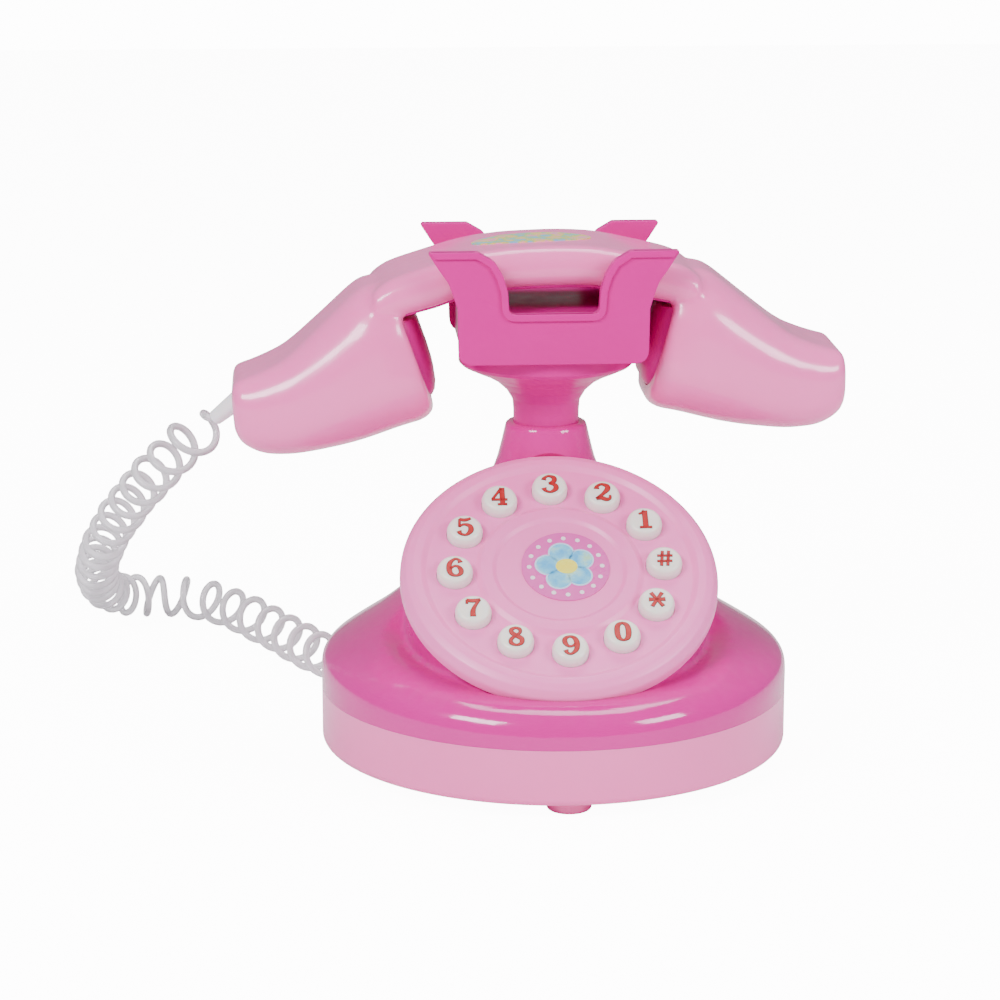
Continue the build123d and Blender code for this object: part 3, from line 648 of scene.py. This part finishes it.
# a lower cone that trims the sides and back of the shoulder
coneRings = [
    (0.0, 11.0, 50.0, 0.0), (0.0, 15.5, 50.0, 1.5), (0.0, 20.5, 50.0, 2.0), (0.2, 22.6, 49.0, 1.6),
    (1.0, 24.4, 46.6, 1.2), (2.6, 26.6, 42.8, 1.0), (5.0, 29.2, 38.0, 1.0), (9.0, 32.4, 32.4, 2.0),
    (13.4, 36.6, 26.2, 3.0), (17.0, 43.0, 20.0, 3.0), (19.9, 50.8, 14.8, 3.0), (21.5, 57.6, 11.6, 2.0),
    (22.0, 61.5, 10.3, 0.0), (22.0, 67.9, 8.8, 0.0),
]
dialPlace = placeOf((0, -15.1, 42.7), (1, 0, 0), (0, -sin(radians(35.1)), cos(radians(35.1))))
neckPlace = Matrix.Translation((0, 22.0, 0))


def tiltedRing(y, z, radius, tilt, count=144):
    ring = []
    for j in range(count):
        angle = 2 * pi * j / count
        up = radius * sin(angle)
        ring.append((radius * cos(angle), y + up * cos(radians(tilt)), z + up * sin(radians(tilt))))
    return ring


def rodPiece(name, radius, place, low, high, segments=96):
    return lathePiece(name, [(0, low), (radius, low), (radius, high), (0, high)], place, segments)


def shoulderForm(name, rings):
    return loftPiece(name, [tiltedRing(*row) for row in easeRows(rings, 4)])


def makeCover(setup):
    shoulder = shoulderForm("shoulder", shoulderRings)
    carve(shoulder, [shoulderForm("cone", coneRings)], "INTERSECT")
    drum = rodPiece("drum", setup["drum"], dialPlace, -19.0, -2.0, 160)
    cover = joinPieces("baseCover", [shoulder, drum])
    weld(cover, setup["grain"], 7)
    carve(cover, [
        rodPiece("below", 70.0, Matrix.Identity(4), 0.0, setup["seam"]),
        rodPiece("pocket", setup["pocket"], dialPlace, -3.03, 14.0, 160),
        rodPiece("bore", setup["bore"], dialPlace, -12.0, 0.0, 160),
        rodPiece("neckBore", 7.28, neckPlace, 57.2, 80.0),
    ])
    shadeByAngle(cover, 42)
    finishPiece(cover, "base", ["base_cover"], [coverPink])


makeCover(baseCover)

# ---- dial plate, lathed about the dial's own axis
dialPlate = {
    "profile": [
        (0, -3.0, 0), (33.0, -3.0, 0.4), (33.6, -2.2, 0.8), (33.5, -0.2, 1.6), (32.3, 1.3, 1.6),
        (30.8, 1.95, 1.2), (29.2, 1.95, 0.9), (28.0, 1.2, 0.8), (17.7, 1.2, 0.7), (16.6, 1.95, 0.7),
        (14.2, 1.95, 0.6), (13.3, 1.4, 0.5), (0, 1.4, 0),
    ],
    "holeRadius": 3.9, "ring": 22.1, "turn": 92.0,
}
keyOrder = ["3", "2", "1", "hash", "star", "0", "9", "8", "7", "6", "5", "4"]


def keySpot(index):
    angle = radians(dialPlate["turn"] - 30 * index)
    return dialPlate["ring"] * cos(angle), dialPlate["ring"] * sin(angle)


def makeDial(setup):
    path = softCorners(setup["profile"])
    dial = lathePiece("dialPlate", [(p.x, p.y) for p in path], dialPlace, 180)
    holes = []
    for index in range(12):
        x, y = keySpot(index)
        place = dialPlace @ Matrix.Translation((x, y, 0))
        holes.append(rodPiece("hole", setup["holeRadius"], place, -5.0, 3.0, 48))
    carve(dial, [joinPieces("holes", holes)])
    shadeByAngle(dial, 30)
    finishPiece(dial, "base", ["dial_plate"], [dialPink])


makeDial(dialPlate)

# ---- keys: a rounded cap, a flange under the plate, a printed sign, and a dark ribbon round the sign that is painted shade
keyCap = {
    "profile": [
        (0, -4.5, 0), (4.7, -4.5, 0.2), (4.7, -3.15, 0.2), (3.8, -3.1, 0.1), (3.8, 2.3, 0.8),
        (3.4, 3.7, 1.3), (0, 3.75, 0),
    ],
    "signWidth": 2.05, "signHeight": 2.45, "inkRise": 0.10,
}
# strokes of each sign as (x, y, thickness), in halves of the sign's own width and height
signStrokes = {
    "1": [
        [(-0.55, 0.62, 0.16), (-0.2, 0.74, 0.2), (0.02, 0.95, 0.3)],
        [(0.05, 0.95, 0.5), (0.05, -0.85, 0.5)],
        [(-0.55, -0.9, 0.22), (0.65, -0.9, 0.22)],
    ],
    "2": [
        [
            (-0.62, 0.42, 0.5), (-0.55, 0.68, 0.3), (-0.1, 0.92, 0.24), (0.48, 0.72, 0.44),
            (0.5, 0.32, 0.48), (0.0, -0.2, 0.3), (-0.68, -0.72, 0.26),
        ],
        [
            (-0.7, -0.74, 0.26), (-0.2, -0.66, 0.42), (0.3, -0.84, 0.42), (0.68, -0.72, 0.26),
            (0.74, -0.38, 0.16),
        ],
    ],
    "3": [
        [
            (-0.62, 0.5, 0.46), (-0.5, 0.74, 0.26), (-0.05, 0.92, 0.22), (0.45, 0.7, 0.42),
            (0.42, 0.3, 0.42), (-0.08, 0.06, 0.22),
        ],
        [
            (-0.08, 0.06, 0.22), (0.5, -0.12, 0.4), (0.58, -0.55, 0.46), (0.05, -0.92, 0.24),
            (-0.5, -0.78, 0.26), (-0.66, -0.48, 0.48),
        ],
    ],
    "4": [
        [(0.2, 0.92, 0.26), (-0.3, 0.3, 0.2), (-0.78, -0.32, 0.2)],
        [(-0.82, -0.36, 0.24), (0.74, -0.36, 0.24)],
        [(0.26, 0.95, 0.46), (0.26, -0.85, 0.46)],
        [(-0.22, -0.9, 0.2), (0.68, -0.9, 0.2)],
    ],
    "5": [
        [(-0.5, 0.86, 0.3), (0.0, 0.76, 0.36), (0.6, 0.92, 0.22)],
        [(-0.52, 0.85, 0.18), (-0.58, 0.02, 0.2)],
        [
            (-0.58, 0.05, 0.2), (-0.1, 0.26, 0.24), (0.5, 0.08, 0.42), (0.58, -0.45, 0.48),
            (0.1, -0.9, 0.24), (-0.45, -0.8, 0.26), (-0.64, -0.5, 0.46),
        ],
    ],
    "6": [
        [
            (0.55, 0.55, 0.44), (0.4, 0.84, 0.24), (0.0, 0.92, 0.22), (-0.5, 0.5, 0.4),
            (-0.62, -0.15, 0.5), (-0.45, -0.7, 0.4), (0.05, -0.92, 0.22), (0.52, -0.7, 0.38),
            (0.58, -0.3, 0.44), (0.3, 0.08, 0.28), (-0.1, 0.12, 0.2), (-0.5, -0.15, 0.2),
        ],
    ],
    "7": [
        [(-0.66, 0.45, 0.18), (-0.62, 0.8, 0.24)],
        [(-0.64, 0.8, 0.34), (0.0, 0.74, 0.4), (0.68, 0.86, 0.26)],
        [(0.64, 0.84, 0.22), (0.15, 0.15, 0.3), (-0.08, -0.4, 0.46), (-0.1, -0.92, 0.52)],
    ],
    "8": [
        [
            (0.0, 0.92, 0.22), (-0.42, 0.72, 0.36), (-0.38, 0.36, 0.42), (0.1, 0.04, 0.46),
            (0.56, -0.3, 0.44), (0.48, -0.75, 0.34), (0.0, -0.93, 0.22), (-0.52, -0.72, 0.36),
            (-0.5, -0.3, 0.32), (0.0, 0.08, 0.24), (0.42, 0.4, 0.26), (0.4, 0.76, 0.3),
            (0.0, 0.92, 0.22),
        ],
    ],
    "0": [
        [
            (0.0, 0.93, 0.2), (-0.45, 0.66, 0.44), (-0.58, 0.0, 0.5), (-0.45, -0.66, 0.44),
            (0.0, -0.93, 0.2), (0.45, -0.66, 0.44), (0.58, 0.0, 0.5), (0.45, 0.66, 0.44),
            (0.0, 0.93, 0.2),
        ],
    ],
    "star": [
        [(-0.8, 0.02, 0.44), (0.0, 0.0, 0.26), (0.8, 0.02, 0.44)],
        [(-0.55, 0.72, 0.34), (0.0, 0.0, 0.26), (0.55, -0.72, 0.34)],
        [(0.55, 0.72, 0.34), (0.0, 0.0, 0.26), (-0.55, -0.72, 0.34)],
    ],
    "hash": [
        [(-0.42, -0.8, 0.24), (-0.18, 0.8, 0.24)],
        [(0.22, -0.8, 0.24), (0.46, 0.8, 0.24)],
        [(-0.72, 0.3, 0.22), (0.78, 0.3, 0.22)],
        [(-0.78, -0.3, 0.22), (0.7, -0.3, 0.22)],
    ],
}
signStrokes["9"] = [[(-x, -y, thick) for x, y, thick in stroke] for stroke in signStrokes["6"]]


def strokePiece(stroke, setup, place, extra, rise):
    # a flat ribbon of changing width, a little proud of the cap
    rows = easeRows(stroke, 6) if len(stroke) > 2 else stroke
    spots = [Vector((x * setup["signWidth"], y * setup["signHeight"])) for x, y, thick in rows]
    left = []
    right = []
    for i, spot in enumerate(spots):
        ahead = (spots[min(i + 1, len(spots) - 1)] - spots[max(i - 1, 0)]).normalized()
        across = Vector((-ahead.y, ahead.x)) * (rows[i][2] * setup["signWidth"] / 2 + extra)
        lengthen = ahead * extra * ((i == len(spots) - 1) - (i == 0))
        left.append(spot + across + lengthen)
        right.append(spot - across + lengthen)
    count = len(spots)
    verts = []
    for level in (keyTop - 0.2, keyTop + rise):
        verts += [place @ Vector((p.x, p.y, level)) for p in left + right]
    faces = []
    for i in range(count - 1):
        faces.append((i, i + 1, count + i + 1, count + i))
        faces.append((2 * count + i, 2 * count + i + 1, 3 * count + i + 1, 3 * count + i))
        faces.append((i, i + 1, 2 * count + i + 1, 2 * count + i))
        faces.append((count + i, count + i + 1, 3 * count + i + 1, 3 * count + i))
    for i in (0, count - 1):
        faces.append((i, count + i, 3 * count + i, 2 * count + i))
    mesh = meshOf("stroke", verts, faces)
    faceOut(mesh)
    return mesh


keyTop = 3.75


def makeKey(name, index, setup):
    x, y = keySpot(index)
    place = dialPlace @ Matrix.Translation((x, y, 0))
    path = softCorners(setup["profile"], steps=6)
    cap = lathePiece("cap", [(p.x, p.y) for p in path], place, 56)
    shape = bmesh.new()
    shape.from_mesh(cap.data)
    bpy.data.objects.remove(cap)
    # slot 1 is the red printed sign; slot 2 is a wider, lower dark ribbon round it, painted shade at the
    # sign's edges
    for slotIndex, extra, rise in ((1, 0.0, setup["inkRise"]), (2, 0.10, 0.6 * setup["inkRise"])):
        for stroke in signStrokes[name]:
            before = len(shape.faces)
            shape.from_mesh(strokePiece(stroke, setup, place, extra, rise))
            shape.faces.ensure_lookup_table()
            for face in shape.faces[before:]:
                face.material_index = slotIndex
    mesh = bpy.data.meshes.new("key_" + name)
    shape.to_mesh(mesh)
    shape.free()
    key = addPiece("key_" + name, mesh)
    shadeByAngle(key, 40)
    materialIndex = [face.material_index for face in key.data.polygons]
    finishPiece(key, "key_" + name, ["button_" + name], [ivory, inkRed, paintedSignShade])
    key.data.polygons.foreach_set("material_index", materialIndex)


for index, name in enumerate(keyOrder):
    makeKey(name, index, keyCap)
print("keys made")


# ---- a ring of small studs by Geometry Nodes: printed dots, sound holes


def studRingTree():
    tree = bpy.data.node_groups.new("studRing", "GeometryNodeTree")
    wanted = (("Count", "NodeSocketInt"), ("Ring", "NodeSocketFloat"), ("Stud Radius", "NodeSocketFloat"),
              ("Stud Height", "NodeSocketFloat"), ("Material", "NodeSocketMaterial"))
    for label, kind in wanted:
        tree.interface.new_socket(label, in_out="INPUT", socket_type=kind)
    tree.interface.new_socket("Geometry", in_out="OUTPUT", socket_type="NodeSocketGeometry")
    given = tree.nodes.new("NodeGroupInput")
    out = tree.nodes.new("NodeGroupOutput")
    ring = addNode(tree, "GeometryNodeMeshCircle", fill_type="NONE")
    stud = tree.nodes.new("GeometryNodeMeshCylinder")
    stud.inputs["Vertices"].default_value = 20
    spread = tree.nodes.new("GeometryNodeInstanceOnPoints")
    real = tree.nodes.new("GeometryNodeRealizeInstances")
    paint = tree.nodes.new("GeometryNodeSetMaterial")
    link = tree.links.new
    link(given.outputs["Count"], ring.inputs["Vertices"])
    link(given.outputs["Ring"], ring.inputs["Radius"])
    link(given.outputs["Stud Radius"], stud.inputs["Radius"])
    link(given.outputs["Stud Height"], stud.inputs["Depth"])
    link(ring.outputs["Mesh"], spread.inputs["Points"])
    link(stud.outputs["Mesh"], spread.inputs["Instance"])
    link(spread.outputs["Instances"], real.inputs["Geometry"])
    link(real.outputs["Geometry"], paint.inputs["Geometry"])
    link(given.outputs["Material"], paint.inputs["Material"])
    link(paint.outputs["Geometry"], out.inputs["Geometry"])
    return tree


studRing = studRingTree()


def studRingPiece(name, place, count, ring, radius, height, material):
    # place is in millimetres, and the studs stand half in and half out of its XY plane
    obj = addPiece(name, bpy.data.meshes.new(name))
    nodesModifier = obj.modifiers.new("studs", "NODES")
    nodesModifier.node_group = studRing
    values = {"Count": count, "Ring": ring * mm, "Stud Radius": radius * mm, "Stud Height": height * mm,
              "Material": material}
    for item in studRing.interface.items_tree:
        if item.in_out == "INPUT":
            nodesModifier[item.identifier] = values[item.name]
    settle(obj)
    turned = place.copy()
    turned.translation = place.translation * mm
    obj.data.transform(turned)
    return obj


# ---- dial sticker: dots and a plain five-petal flower
dialSticker = {
    "radius": 9.3, "shift": (1.3, 0.8), "level": 1.4, "dots": 16, "dotRing": 7.7, "dotRadius": 0.5,
    "petals": 5, "petalRing": 3.75, "petalRadius": 2.45, "rim": 0.35, "firstPetal": 101.0,
    "heart": (2.3, 2.0),
}


def ovalOutline(x, y, wide, high, count=40):
    return [(x + wide * cos(2 * pi * j / count), y + high * sin(2 * pi * j / count)) for j in range(count)]


def makeDialSticker(setup):
    place = dialPlace @ Matrix.Translation((*setup["shift"], 0))
    low = setup["level"] - 0.1
    outline = ovalOutline(0, 0, setup["radius"], setup["radius"], 96)
    sticker = prismPiece("disc", outline, place, low, low + 0.32)
    parts = [(sticker, 0)]
    rise = low + 0.32
    for k in range(setup["petals"]):
        angle = radians(setup["firstPetal"] - 72 * k)
        x, y = setup["petalRing"] * cos(angle), setup["petalRing"] * sin(angle)
        outer = setup["petalRadius"] + setup["rim"]
        parts.append((prismPiece("rim", ovalOutline(x, y, outer, outer), place, low, rise + 0.03), 1))
        inner = setup["petalRadius"]
        parts.append((prismPiece("petal", ovalOutline(x, y, inner, inner), place, low, rise + 0.05), 2))
    parts.append((prismPiece("heart", ovalOutline(0.2, 0, *setup["heart"]), place, low, rise + 0.08), 3))
    dots = studRingPiece(
        "dots", place @ Matrix.Translation((0, 0, rise)), setup["dots"], setup["dotRing"],
        setup["dotRadius"], 0.08, dotWhite,
    )
    parts.append((dots, 4))
    shape = bmesh.new()
    owners = []
    for piece, owner in parts:
        shape.from_mesh(piece.data)
        owners += [owner] * (len(shape.faces) - len(owners))
        bpy.data.objects.remove(piece)
    mesh = bpy.data.meshes.new("dialSticker")
    shape.to_mesh(mesh)
    shape.free()
    made = addPiece("dialSticker", mesh)
    shadeByAngle(made, 30)
    materials = [stickerPink, petalRim, petalBlue, heartYellow, dotWhite]
    finishPiece(made, "base", ["dial_sticker"], materials)
    made.data.polygons.foreach_set("material_index", owners)


makeDialSticker(dialSticker)

# ---- cradle: flared post and forked yoke
cradlePost = {
    "profile": [
        (0, 57.2, 0), (7.2, 57.2, 0.3), (7.2, 70.4, 1.0), (7.4, 72.8, 2.0), (8.7, 75.0, 2.0),
        (10.9, 77.0, 2.0), (13.4, 78.4, 2.0), (16.0, 79.5, 2.0), (18.4, 80.6, 1.0), (19.2, 81.4, 0.5),
        (19.2, 84.4, 0.3), (0, 84.4, 0),
    ],
}
postPlace = Matrix.Translation((0, 22.0, 0))


def makePost(setup):
    path = softCorners(setup["profile"])
    post = lathePiece("cradlePost", [(p.x, p.y) for p in path], postPlace, 112)
    shadeByAngle(post, 40)
    finishPiece(post, "base", ["cradle_post"], [hotPink])


makePost(cradlePost)

cradleYoke = {
    "halfDepth": 21.3, "plate": 2.4, "low": 84.4, "saddle": 94.4,
    "ribWidth": 1.5, "ribRise": 0.6, "bevel": 0.45,
}
# right half of the notch's edge, from its middle up to the prong's top
notchHalf = [
    (0, 95.3, 0), (9.5, 95.3, 1.4), (9.8, 100.2, 3.0), (10.8, 103.6, 3.0), (12.6, 106.6, 3.0),
    (16.2, 108.7, 2.0),
]
flankHalf = [
    (26.8, 108.7, 0.5), (24.4, 105.0, 2.5), (22.3, 102.0, 3.0), (21.3, 99.3, 3.0), (20.4, 96.4, 3.0),
    (20.2, 84.4, 3.0),
]


def mirrored(points):
    return [(-x, z, bend) for x, z, bend in reversed(points)]


def plateAt(side, setup):
    # outline in X and Z, looking along +Y, its own Z towards the outside
    outer = 22.0 + side * setup["halfDepth"]
    place = Matrix.Identity(4)
    for i, axis in enumerate(((1, 0, 0), (0, 0, 1), (0, side, 0))):
        place.col[i].xyz = axis
    place.translation = (0, outer, 0)
    return place


def boxPiece(name, low, high):
    outline = [(low[0], low[1]), (high[0], low[1]), (high[0], high[1]), (low[0], high[1])]
    return prismPiece(name, outline, Matrix.Identity(4), low[2], high[2])


def makeYoke(setup):
    half = notchHalf[1:] + flankHalf
    outline = softCorners(half + mirrored(half), closed=True, steps=4)
    edge = softCorners(mirrored(notchHalf[1:]) + notchHalf[1:], steps=6)
    edge = [Vector((-26.3, 108.7))] + edge + [Vector((26.3, 108.7))]
    parts = []
    for side in (-1, 1):
        place = plateAt(side, setup)
        plate = prismPiece("plate", [tuple(p) for p in outline], place, -setup["plate"], 0)
        parts.append(bevelEdges(plate, setup["bevel"]))
        under = []
        for i, spot in enumerate(edge):
            ahead = (edge[min(i + 1, len(edge) - 1)] - edge[max(i - 1, 0)]).normalized()
            under.append(spot + Vector((ahead.y, -ahead.x)) * setup["ribWidth"])
        under[0] = Vector((-25.2, 107.2))
        under[-1] = Vector((25.2, 107.2))
        rib = prismPiece("rib", [tuple(p) for p in edge + under[::-1]], place, -1.0, setup["ribRise"])
        parts.append(bevelEdges(rib, 0.25))
    inner = setup["halfDepth"] - 0.8
    yLow, yHigh = 22.0 - inner, 22.0 + inner
    boxes = [
        ((-18.4, yLow, setup["low"] + 0.1), (18.4, yHigh, setup["low"] + 1.8)),
        ((-18.4, yLow, setup["saddle"] - 1.8), (18.4, yHigh, setup["saddle"])),
        ((-19, yLow, setup["low"]), (-17, yHigh, 96.2)),
        ((17, yLow, setup["low"]), (19, yHigh, 96.2)),
    ]
    for low, high in boxes:
        parts.append(bevelEdges(boxPiece("bar", low, high), 0.35, 2))
    yoke = joinPieces("cradleYoke", parts)
    shadeByAngle(yoke, 32)
    finishPiece(yoke, "base", ["cradle_yoke"], [hotPink])


makeYoke(cradleYoke)

# ---- handset, drawn level and then rolled a little onto the cradle
handset = {
    "roll": 2.3, "shift": -2.7, "middle": 91.0, "depthAt": 22.0, "grain": 0.7, "lip": 1.9, "recess": 3.2,
}
# sections of a cup from mouth to end: low u, low z, high u, high z, half depth, corner
cupRows = [
    (22.8, 73.8, 31.6, 102.0, 16.4, 11.6), (23.6, 72.0, 32.3, 101.7, 17.0, 12.0),
    (25.8, 70.8, 34.2, 101.1, 17.8, 12.0), (30.0, 69.9, 38.5, 99.8, 18.6, 12.0),
    (40.0, 67.2, 46.5, 93.0, 18.6, 11.0), (50.0, 65.8, 54.0, 86.7, 17.8, 8.5),
    (56.0, 65.6, 58.8, 84.2, 17.0, 7.2), (60.8, 66.3, 62.6, 82.8, 16.2, 6.4),
    (64.6, 68.7, 65.6, 81.7, 14.8, 4.5), (66.1, 71.4, 66.4, 79.6, 12.4, 3.0),
]
# stations of the grip: u, underside, top, half depth
gripRows = [
    (0.0, 99.5, 108.3, 16.0), (6.0, 99.4, 108.2, 16.0), (12.0, 99.0, 107.7, 16.1),
    (17.0, 97.8, 106.8, 16.2), (22.0, 96.3, 105.5, 16.3), (31.0, 94.3, 102.9, 16.4),
    (35.0, 93.4, 100.2, 16.4),
]
gripRows = [(-u, low, high, half) for u, low, high, half in reversed(gripRows[1:])] + gripRows


def handsetPoint(u, depth, z):
    roll = radians(handset["roll"])
    rise = z - handset["middle"]
    return Vector((
        handset["shift"] + u * cos(roll) - rise * sin(roll),
        handset["depthAt"] + depth,
        handset["middle"] + u * sin(roll) + rise * cos(roll),
    ))


def roundedRing(lowU, lowZ, highU, highZ, half, corner, perCorner=9, perSide=8):
    # a rounded rectangle as (u, depth, z) points, in the plane through its low and high points
    middle = Vector(((lowU + highU) / 2, 0, (lowZ + highZ) / 2))
    up = Vector((highU - lowU, 0, highZ - lowZ))
    tall = up.length / 2
    up.normalize()
    corner = min(corner, tall - 0.05, half - 0.05)
    ring = []
    for quarter in range(4):
        a = quarter * pi / 2
        sx = 1 if quarter in (0, 3) else -1
        sy = 1 if quarter in (0, 1) else -1
        centre = (sx * (half - corner), sy * (tall - corner))
        arc = []
        for k in range(perCorner + 1):
            angle = a + k / perCorner * pi / 2
            arc.append((centre[0] + corner * cos(angle), centre[1] + corner * sin(angle)))
        if ring:
            ring += sidePoints(ring[-1], arc[0], perSide)
        ring += arc
    ring += sidePoints(ring[-1], ring[0], perSide)
    return [middle + Vector((0, x, 0)) + up * y for x, y in ring]


def sidePoints(first, second, count):
    return [
        (first[0] + (second[0] - first[0]) * k / count, first[1] + (second[1] - first[1]) * k / count)
        for k in range(1, count)
    ]


def rolledForm(name, rings):
    return loftPiece(name, [[handsetPoint(*p) for p in ring] for ring in rings])


def cupForm(side):
    rows = easeRows(cupRows, 5)
    rings = [roundedRing(side * a, b, side * c, d, half, corner) for a, b, c, d, half, corner in rows]
    return rolledForm("cup", rings)


def gripForm(name, below, above, inset, corner, reach):
    rows = [row for row in easeRows(gripRows, 4) if abs(row[0]) <= reach]
    return rolledForm(name, [
        roundedRing(u, low + below, u, high + above, half - inset, corner) for u, low, high, half in rows
    ])


def mouthRing(side, rise, inset):
    # a ring in a cup's mouth, moved towards the post by rise, and kept under the grip
    a, b, c, d, half, corner = cupRows[0]
    length = Vector((c - a, d - b)).length
    upU, upZ = (c - a) / length, (d - b) / length
    outU, outZ = -upZ * rise, upU * rise
    ring = roundedRing(
        side * (a + upU * inset + outU), b + upZ * inset + outZ,
        side * (c - upU * inset + outU), d - upZ * inset + outZ,
        half - inset, max(corner - inset, 1.0),
    )
    top = 93.9
    for p in ring:
        if p.z > top:
            p.x -= side * (p.z - top) * upU / upZ
            p.z = top
    return ring


def stripRing(u, low, half, thick):
    return roundedRing(u, low, u, low + thick, half, 0.4, 3, 6)


def makeHandset(setup):
    shell = joinPieces("handsetShell", [gripForm("grip", 0, 0, 0, 4.2, 36), cupForm(-1), cupForm(1)])
    weld(shell, setup["grain"], 10)
    lip = setup["lip"]
    cutters = [
        rolledForm("mouth", [mouthRing(side, rise, lip) for rise in (4.0, -setup["recess"])])
        for side in (-1, 1)
    ]
    stations = [(row[0], row[1], row[3] - 2.0) for row in gripRows if abs(row[0]) < 27]
    stations = [(-28.3, 94.9, 14.4)] + stations + [(28.3, 94.9, 14.4)]
    cutters.append(rolledForm("channel", [stripRing(u, low - 2.0, half, 3.3) for u, low, half in stations]))
    carve(shell, cutters)
    shadeByAngle(shell, 45)
    finishPiece(shell, "handset", ["handset_outer_shell"], [palePink])
    liners = []
    for side in (-1, 1):
        domes = [
            (-setup["recess"] + 0.1, lip + 0.15), (-0.6, lip + 0.15), (0.5, lip + 0.45), (1.4, lip + 1.4),
            (2.2, lip + 3.2), (2.8, lip + 6.2), (3.0, lip + 9.6),
        ]
        dome = rolledForm("dome", [mouthRing(side, rise, inset) for rise, inset in domes])
        middle = sum(mouthRing(side, 0, lip), Vector()) / len(mouthRing(side, 0, lip))
        a, b, c, d = cupRows[0][:4]
        axis = Vector((-side * (d - b), 0, (c - a)))
        place = placeOf(handsetPoint(*middle), (0, 1, 0), rollVector(axis))
        holes = studRingPiece("holes", place, 8, 4.6, 0.8, 9.0, hotPink)
        centreHole = rodPiece("centreHole", 0.8, place, -4.0, 6.0, 20)
        carve(dome, [holes, centreHole])
        liners.append(dome)
    strip = rolledForm("strip", [stripRing(u, low + 0.12, half - 0.12, 1.1) for u, low, half in stations])
    liner = joinPieces("handsetLiner", liners + [strip])
    shadeByAngle(liner, 35)
    finishPiece(liner, "handset", ["handset_inner_shell"], [hotPink])


def rollVector(axis):
    roll = radians(handset["roll"])
    across = axis.x * cos(roll) - axis.z * sin(roll)
    return Vector((across, axis.y, axis.x * sin(roll) + axis.z * cos(roll)))


makeHandset(handset)

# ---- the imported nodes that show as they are, and the hidden works
nodeLooks = {
    palePink: ["base_tray", "battery_door", "feet"],
    softWhite: ["base_cord_gland", "handset_cord_gland"],
    gripPrint: ["handset_sticker"],
    membraneGrey: ["keypad_membrane"],
    boardGreen: ["circuit_board"],
    chipBlack: ["circuit_chip"],
    cellBlue: ["cell_front", "cell_rear"],
    coneGrey: ["speaker_cone"],
    magnetGrey: ["speaker_magnet"],
    platedSteel: [
        "speaker_frame", "contact_plates", "contact_springs", "case_screws", "battery_door_screw",
        "circuit_screws",
        "cradle_screw", "yoke_screws", "handset_screws",
    ],
}
for material, names in nodeLooks.items():
    for name in names:
        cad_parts[name].data.materials.clear()
        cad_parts[name].data.materials.append(material)
print("packed nodes painted")

# ---- table and light
studio = {"floor": 3.0, "world": 0.40, "seen": 14.0, "glow": 12.0, "key": 6.6, "fill": 3.6, "rim": 3.2}


def addFloor(size):
    mesh = bpy.data.meshes.new("tableTop")
    half = size / 2
    corners = [(-half, -half, 0), (half, -half, 0), (half, half, 0), (-half, half, 0)]
    mesh.from_pydata(corners, [], [(0, 1, 2, 3)])
    floor = addPiece("tableTop", mesh)
    material, tree, shader = startMaterial("tablePaper", {"Roughness": 0.9, "Specular IOR Level": 0.1})
    skin = addNode(tree, "ShaderNodeGroup", node_tree=mouldedSkin)
    skin.inputs["Cloud Size"].default_value = 6.0
    paper = mixColour(tree, "MIX", skin.outputs["Tone"], (0.93, 0.93, 0.93, 1), (0.96, 0.96, 0.96, 1))
    tree.links.new(paper, shader.inputs["Base Color"])
    # bright to the eye, without lighting the toy from below
    path = tree.nodes.new("ShaderNodeLightPath")
    scale = addNode(tree, "ShaderNodeMath", operation="MULTIPLY")
    scale.inputs[1].default_value = studio["glow"]
    tree.links.new(path.outputs["Is Camera Ray"], scale.inputs[0])
    tree.links.new(scale.outputs["Value"], shader.inputs["Emission Strength"])
    shader.inputs["Emission Color"].default_value = (1.0, 0.99, 0.995, 1)
    floor.data.materials.append(material)


def addSoftbox(name, place, aim, size, power):
    data = bpy.data.lights.new(name, "AREA")
    data.shape = "RECTANGLE"
    data.size, data.size_y = size
    data.energy = power
    lamp = bpy.data.objects.new(name, data)
    lamp.location = place
    lamp.rotation_euler = (Vector(aim) - Vector(place)).to_track_quat("-Z", "Y").to_euler()
    bpy.context.scene.collection.objects.link(lamp)


def addWorld(strength, seen):
    world = bpy.data.worlds.new("paleRoom")
    world.use_nodes = True
    background = world.node_tree.nodes["Background"]
    background.inputs["Color"].default_value = (1.0, 0.99, 0.995, 1)
    tree = world.node_tree
    path = tree.nodes.new("ShaderNodeLightPath")
    pick = addNode(tree, "ShaderNodeMapRange")
    pick.inputs["To Min"].default_value = strength
    pick.inputs["To Max"].default_value = seen
    tree.links.new(path.outputs["Is Camera Ray"], pick.inputs["Value"])
    tree.links.new(pick.outputs["Result"], background.inputs["Strength"])
    bpy.context.scene.world = world


addFloor(studio["floor"])
addWorld(studio["world"], studio["seen"])
addSoftbox("keyBox", (-0.45, -0.45, 0.55), (0, 0, 0.05), (0.30, 0.22), studio["key"])
addSoftbox("fillBox", (0.5, -0.4, 0.4), (0, 0, 0.05), (0.26, 0.20), studio["fill"])
addSoftbox("topBox", (0.05, 0.25, 0.7), (0, 0.02, 0.05), (0.4, 0.3), studio["rim"])
print("studio lit")
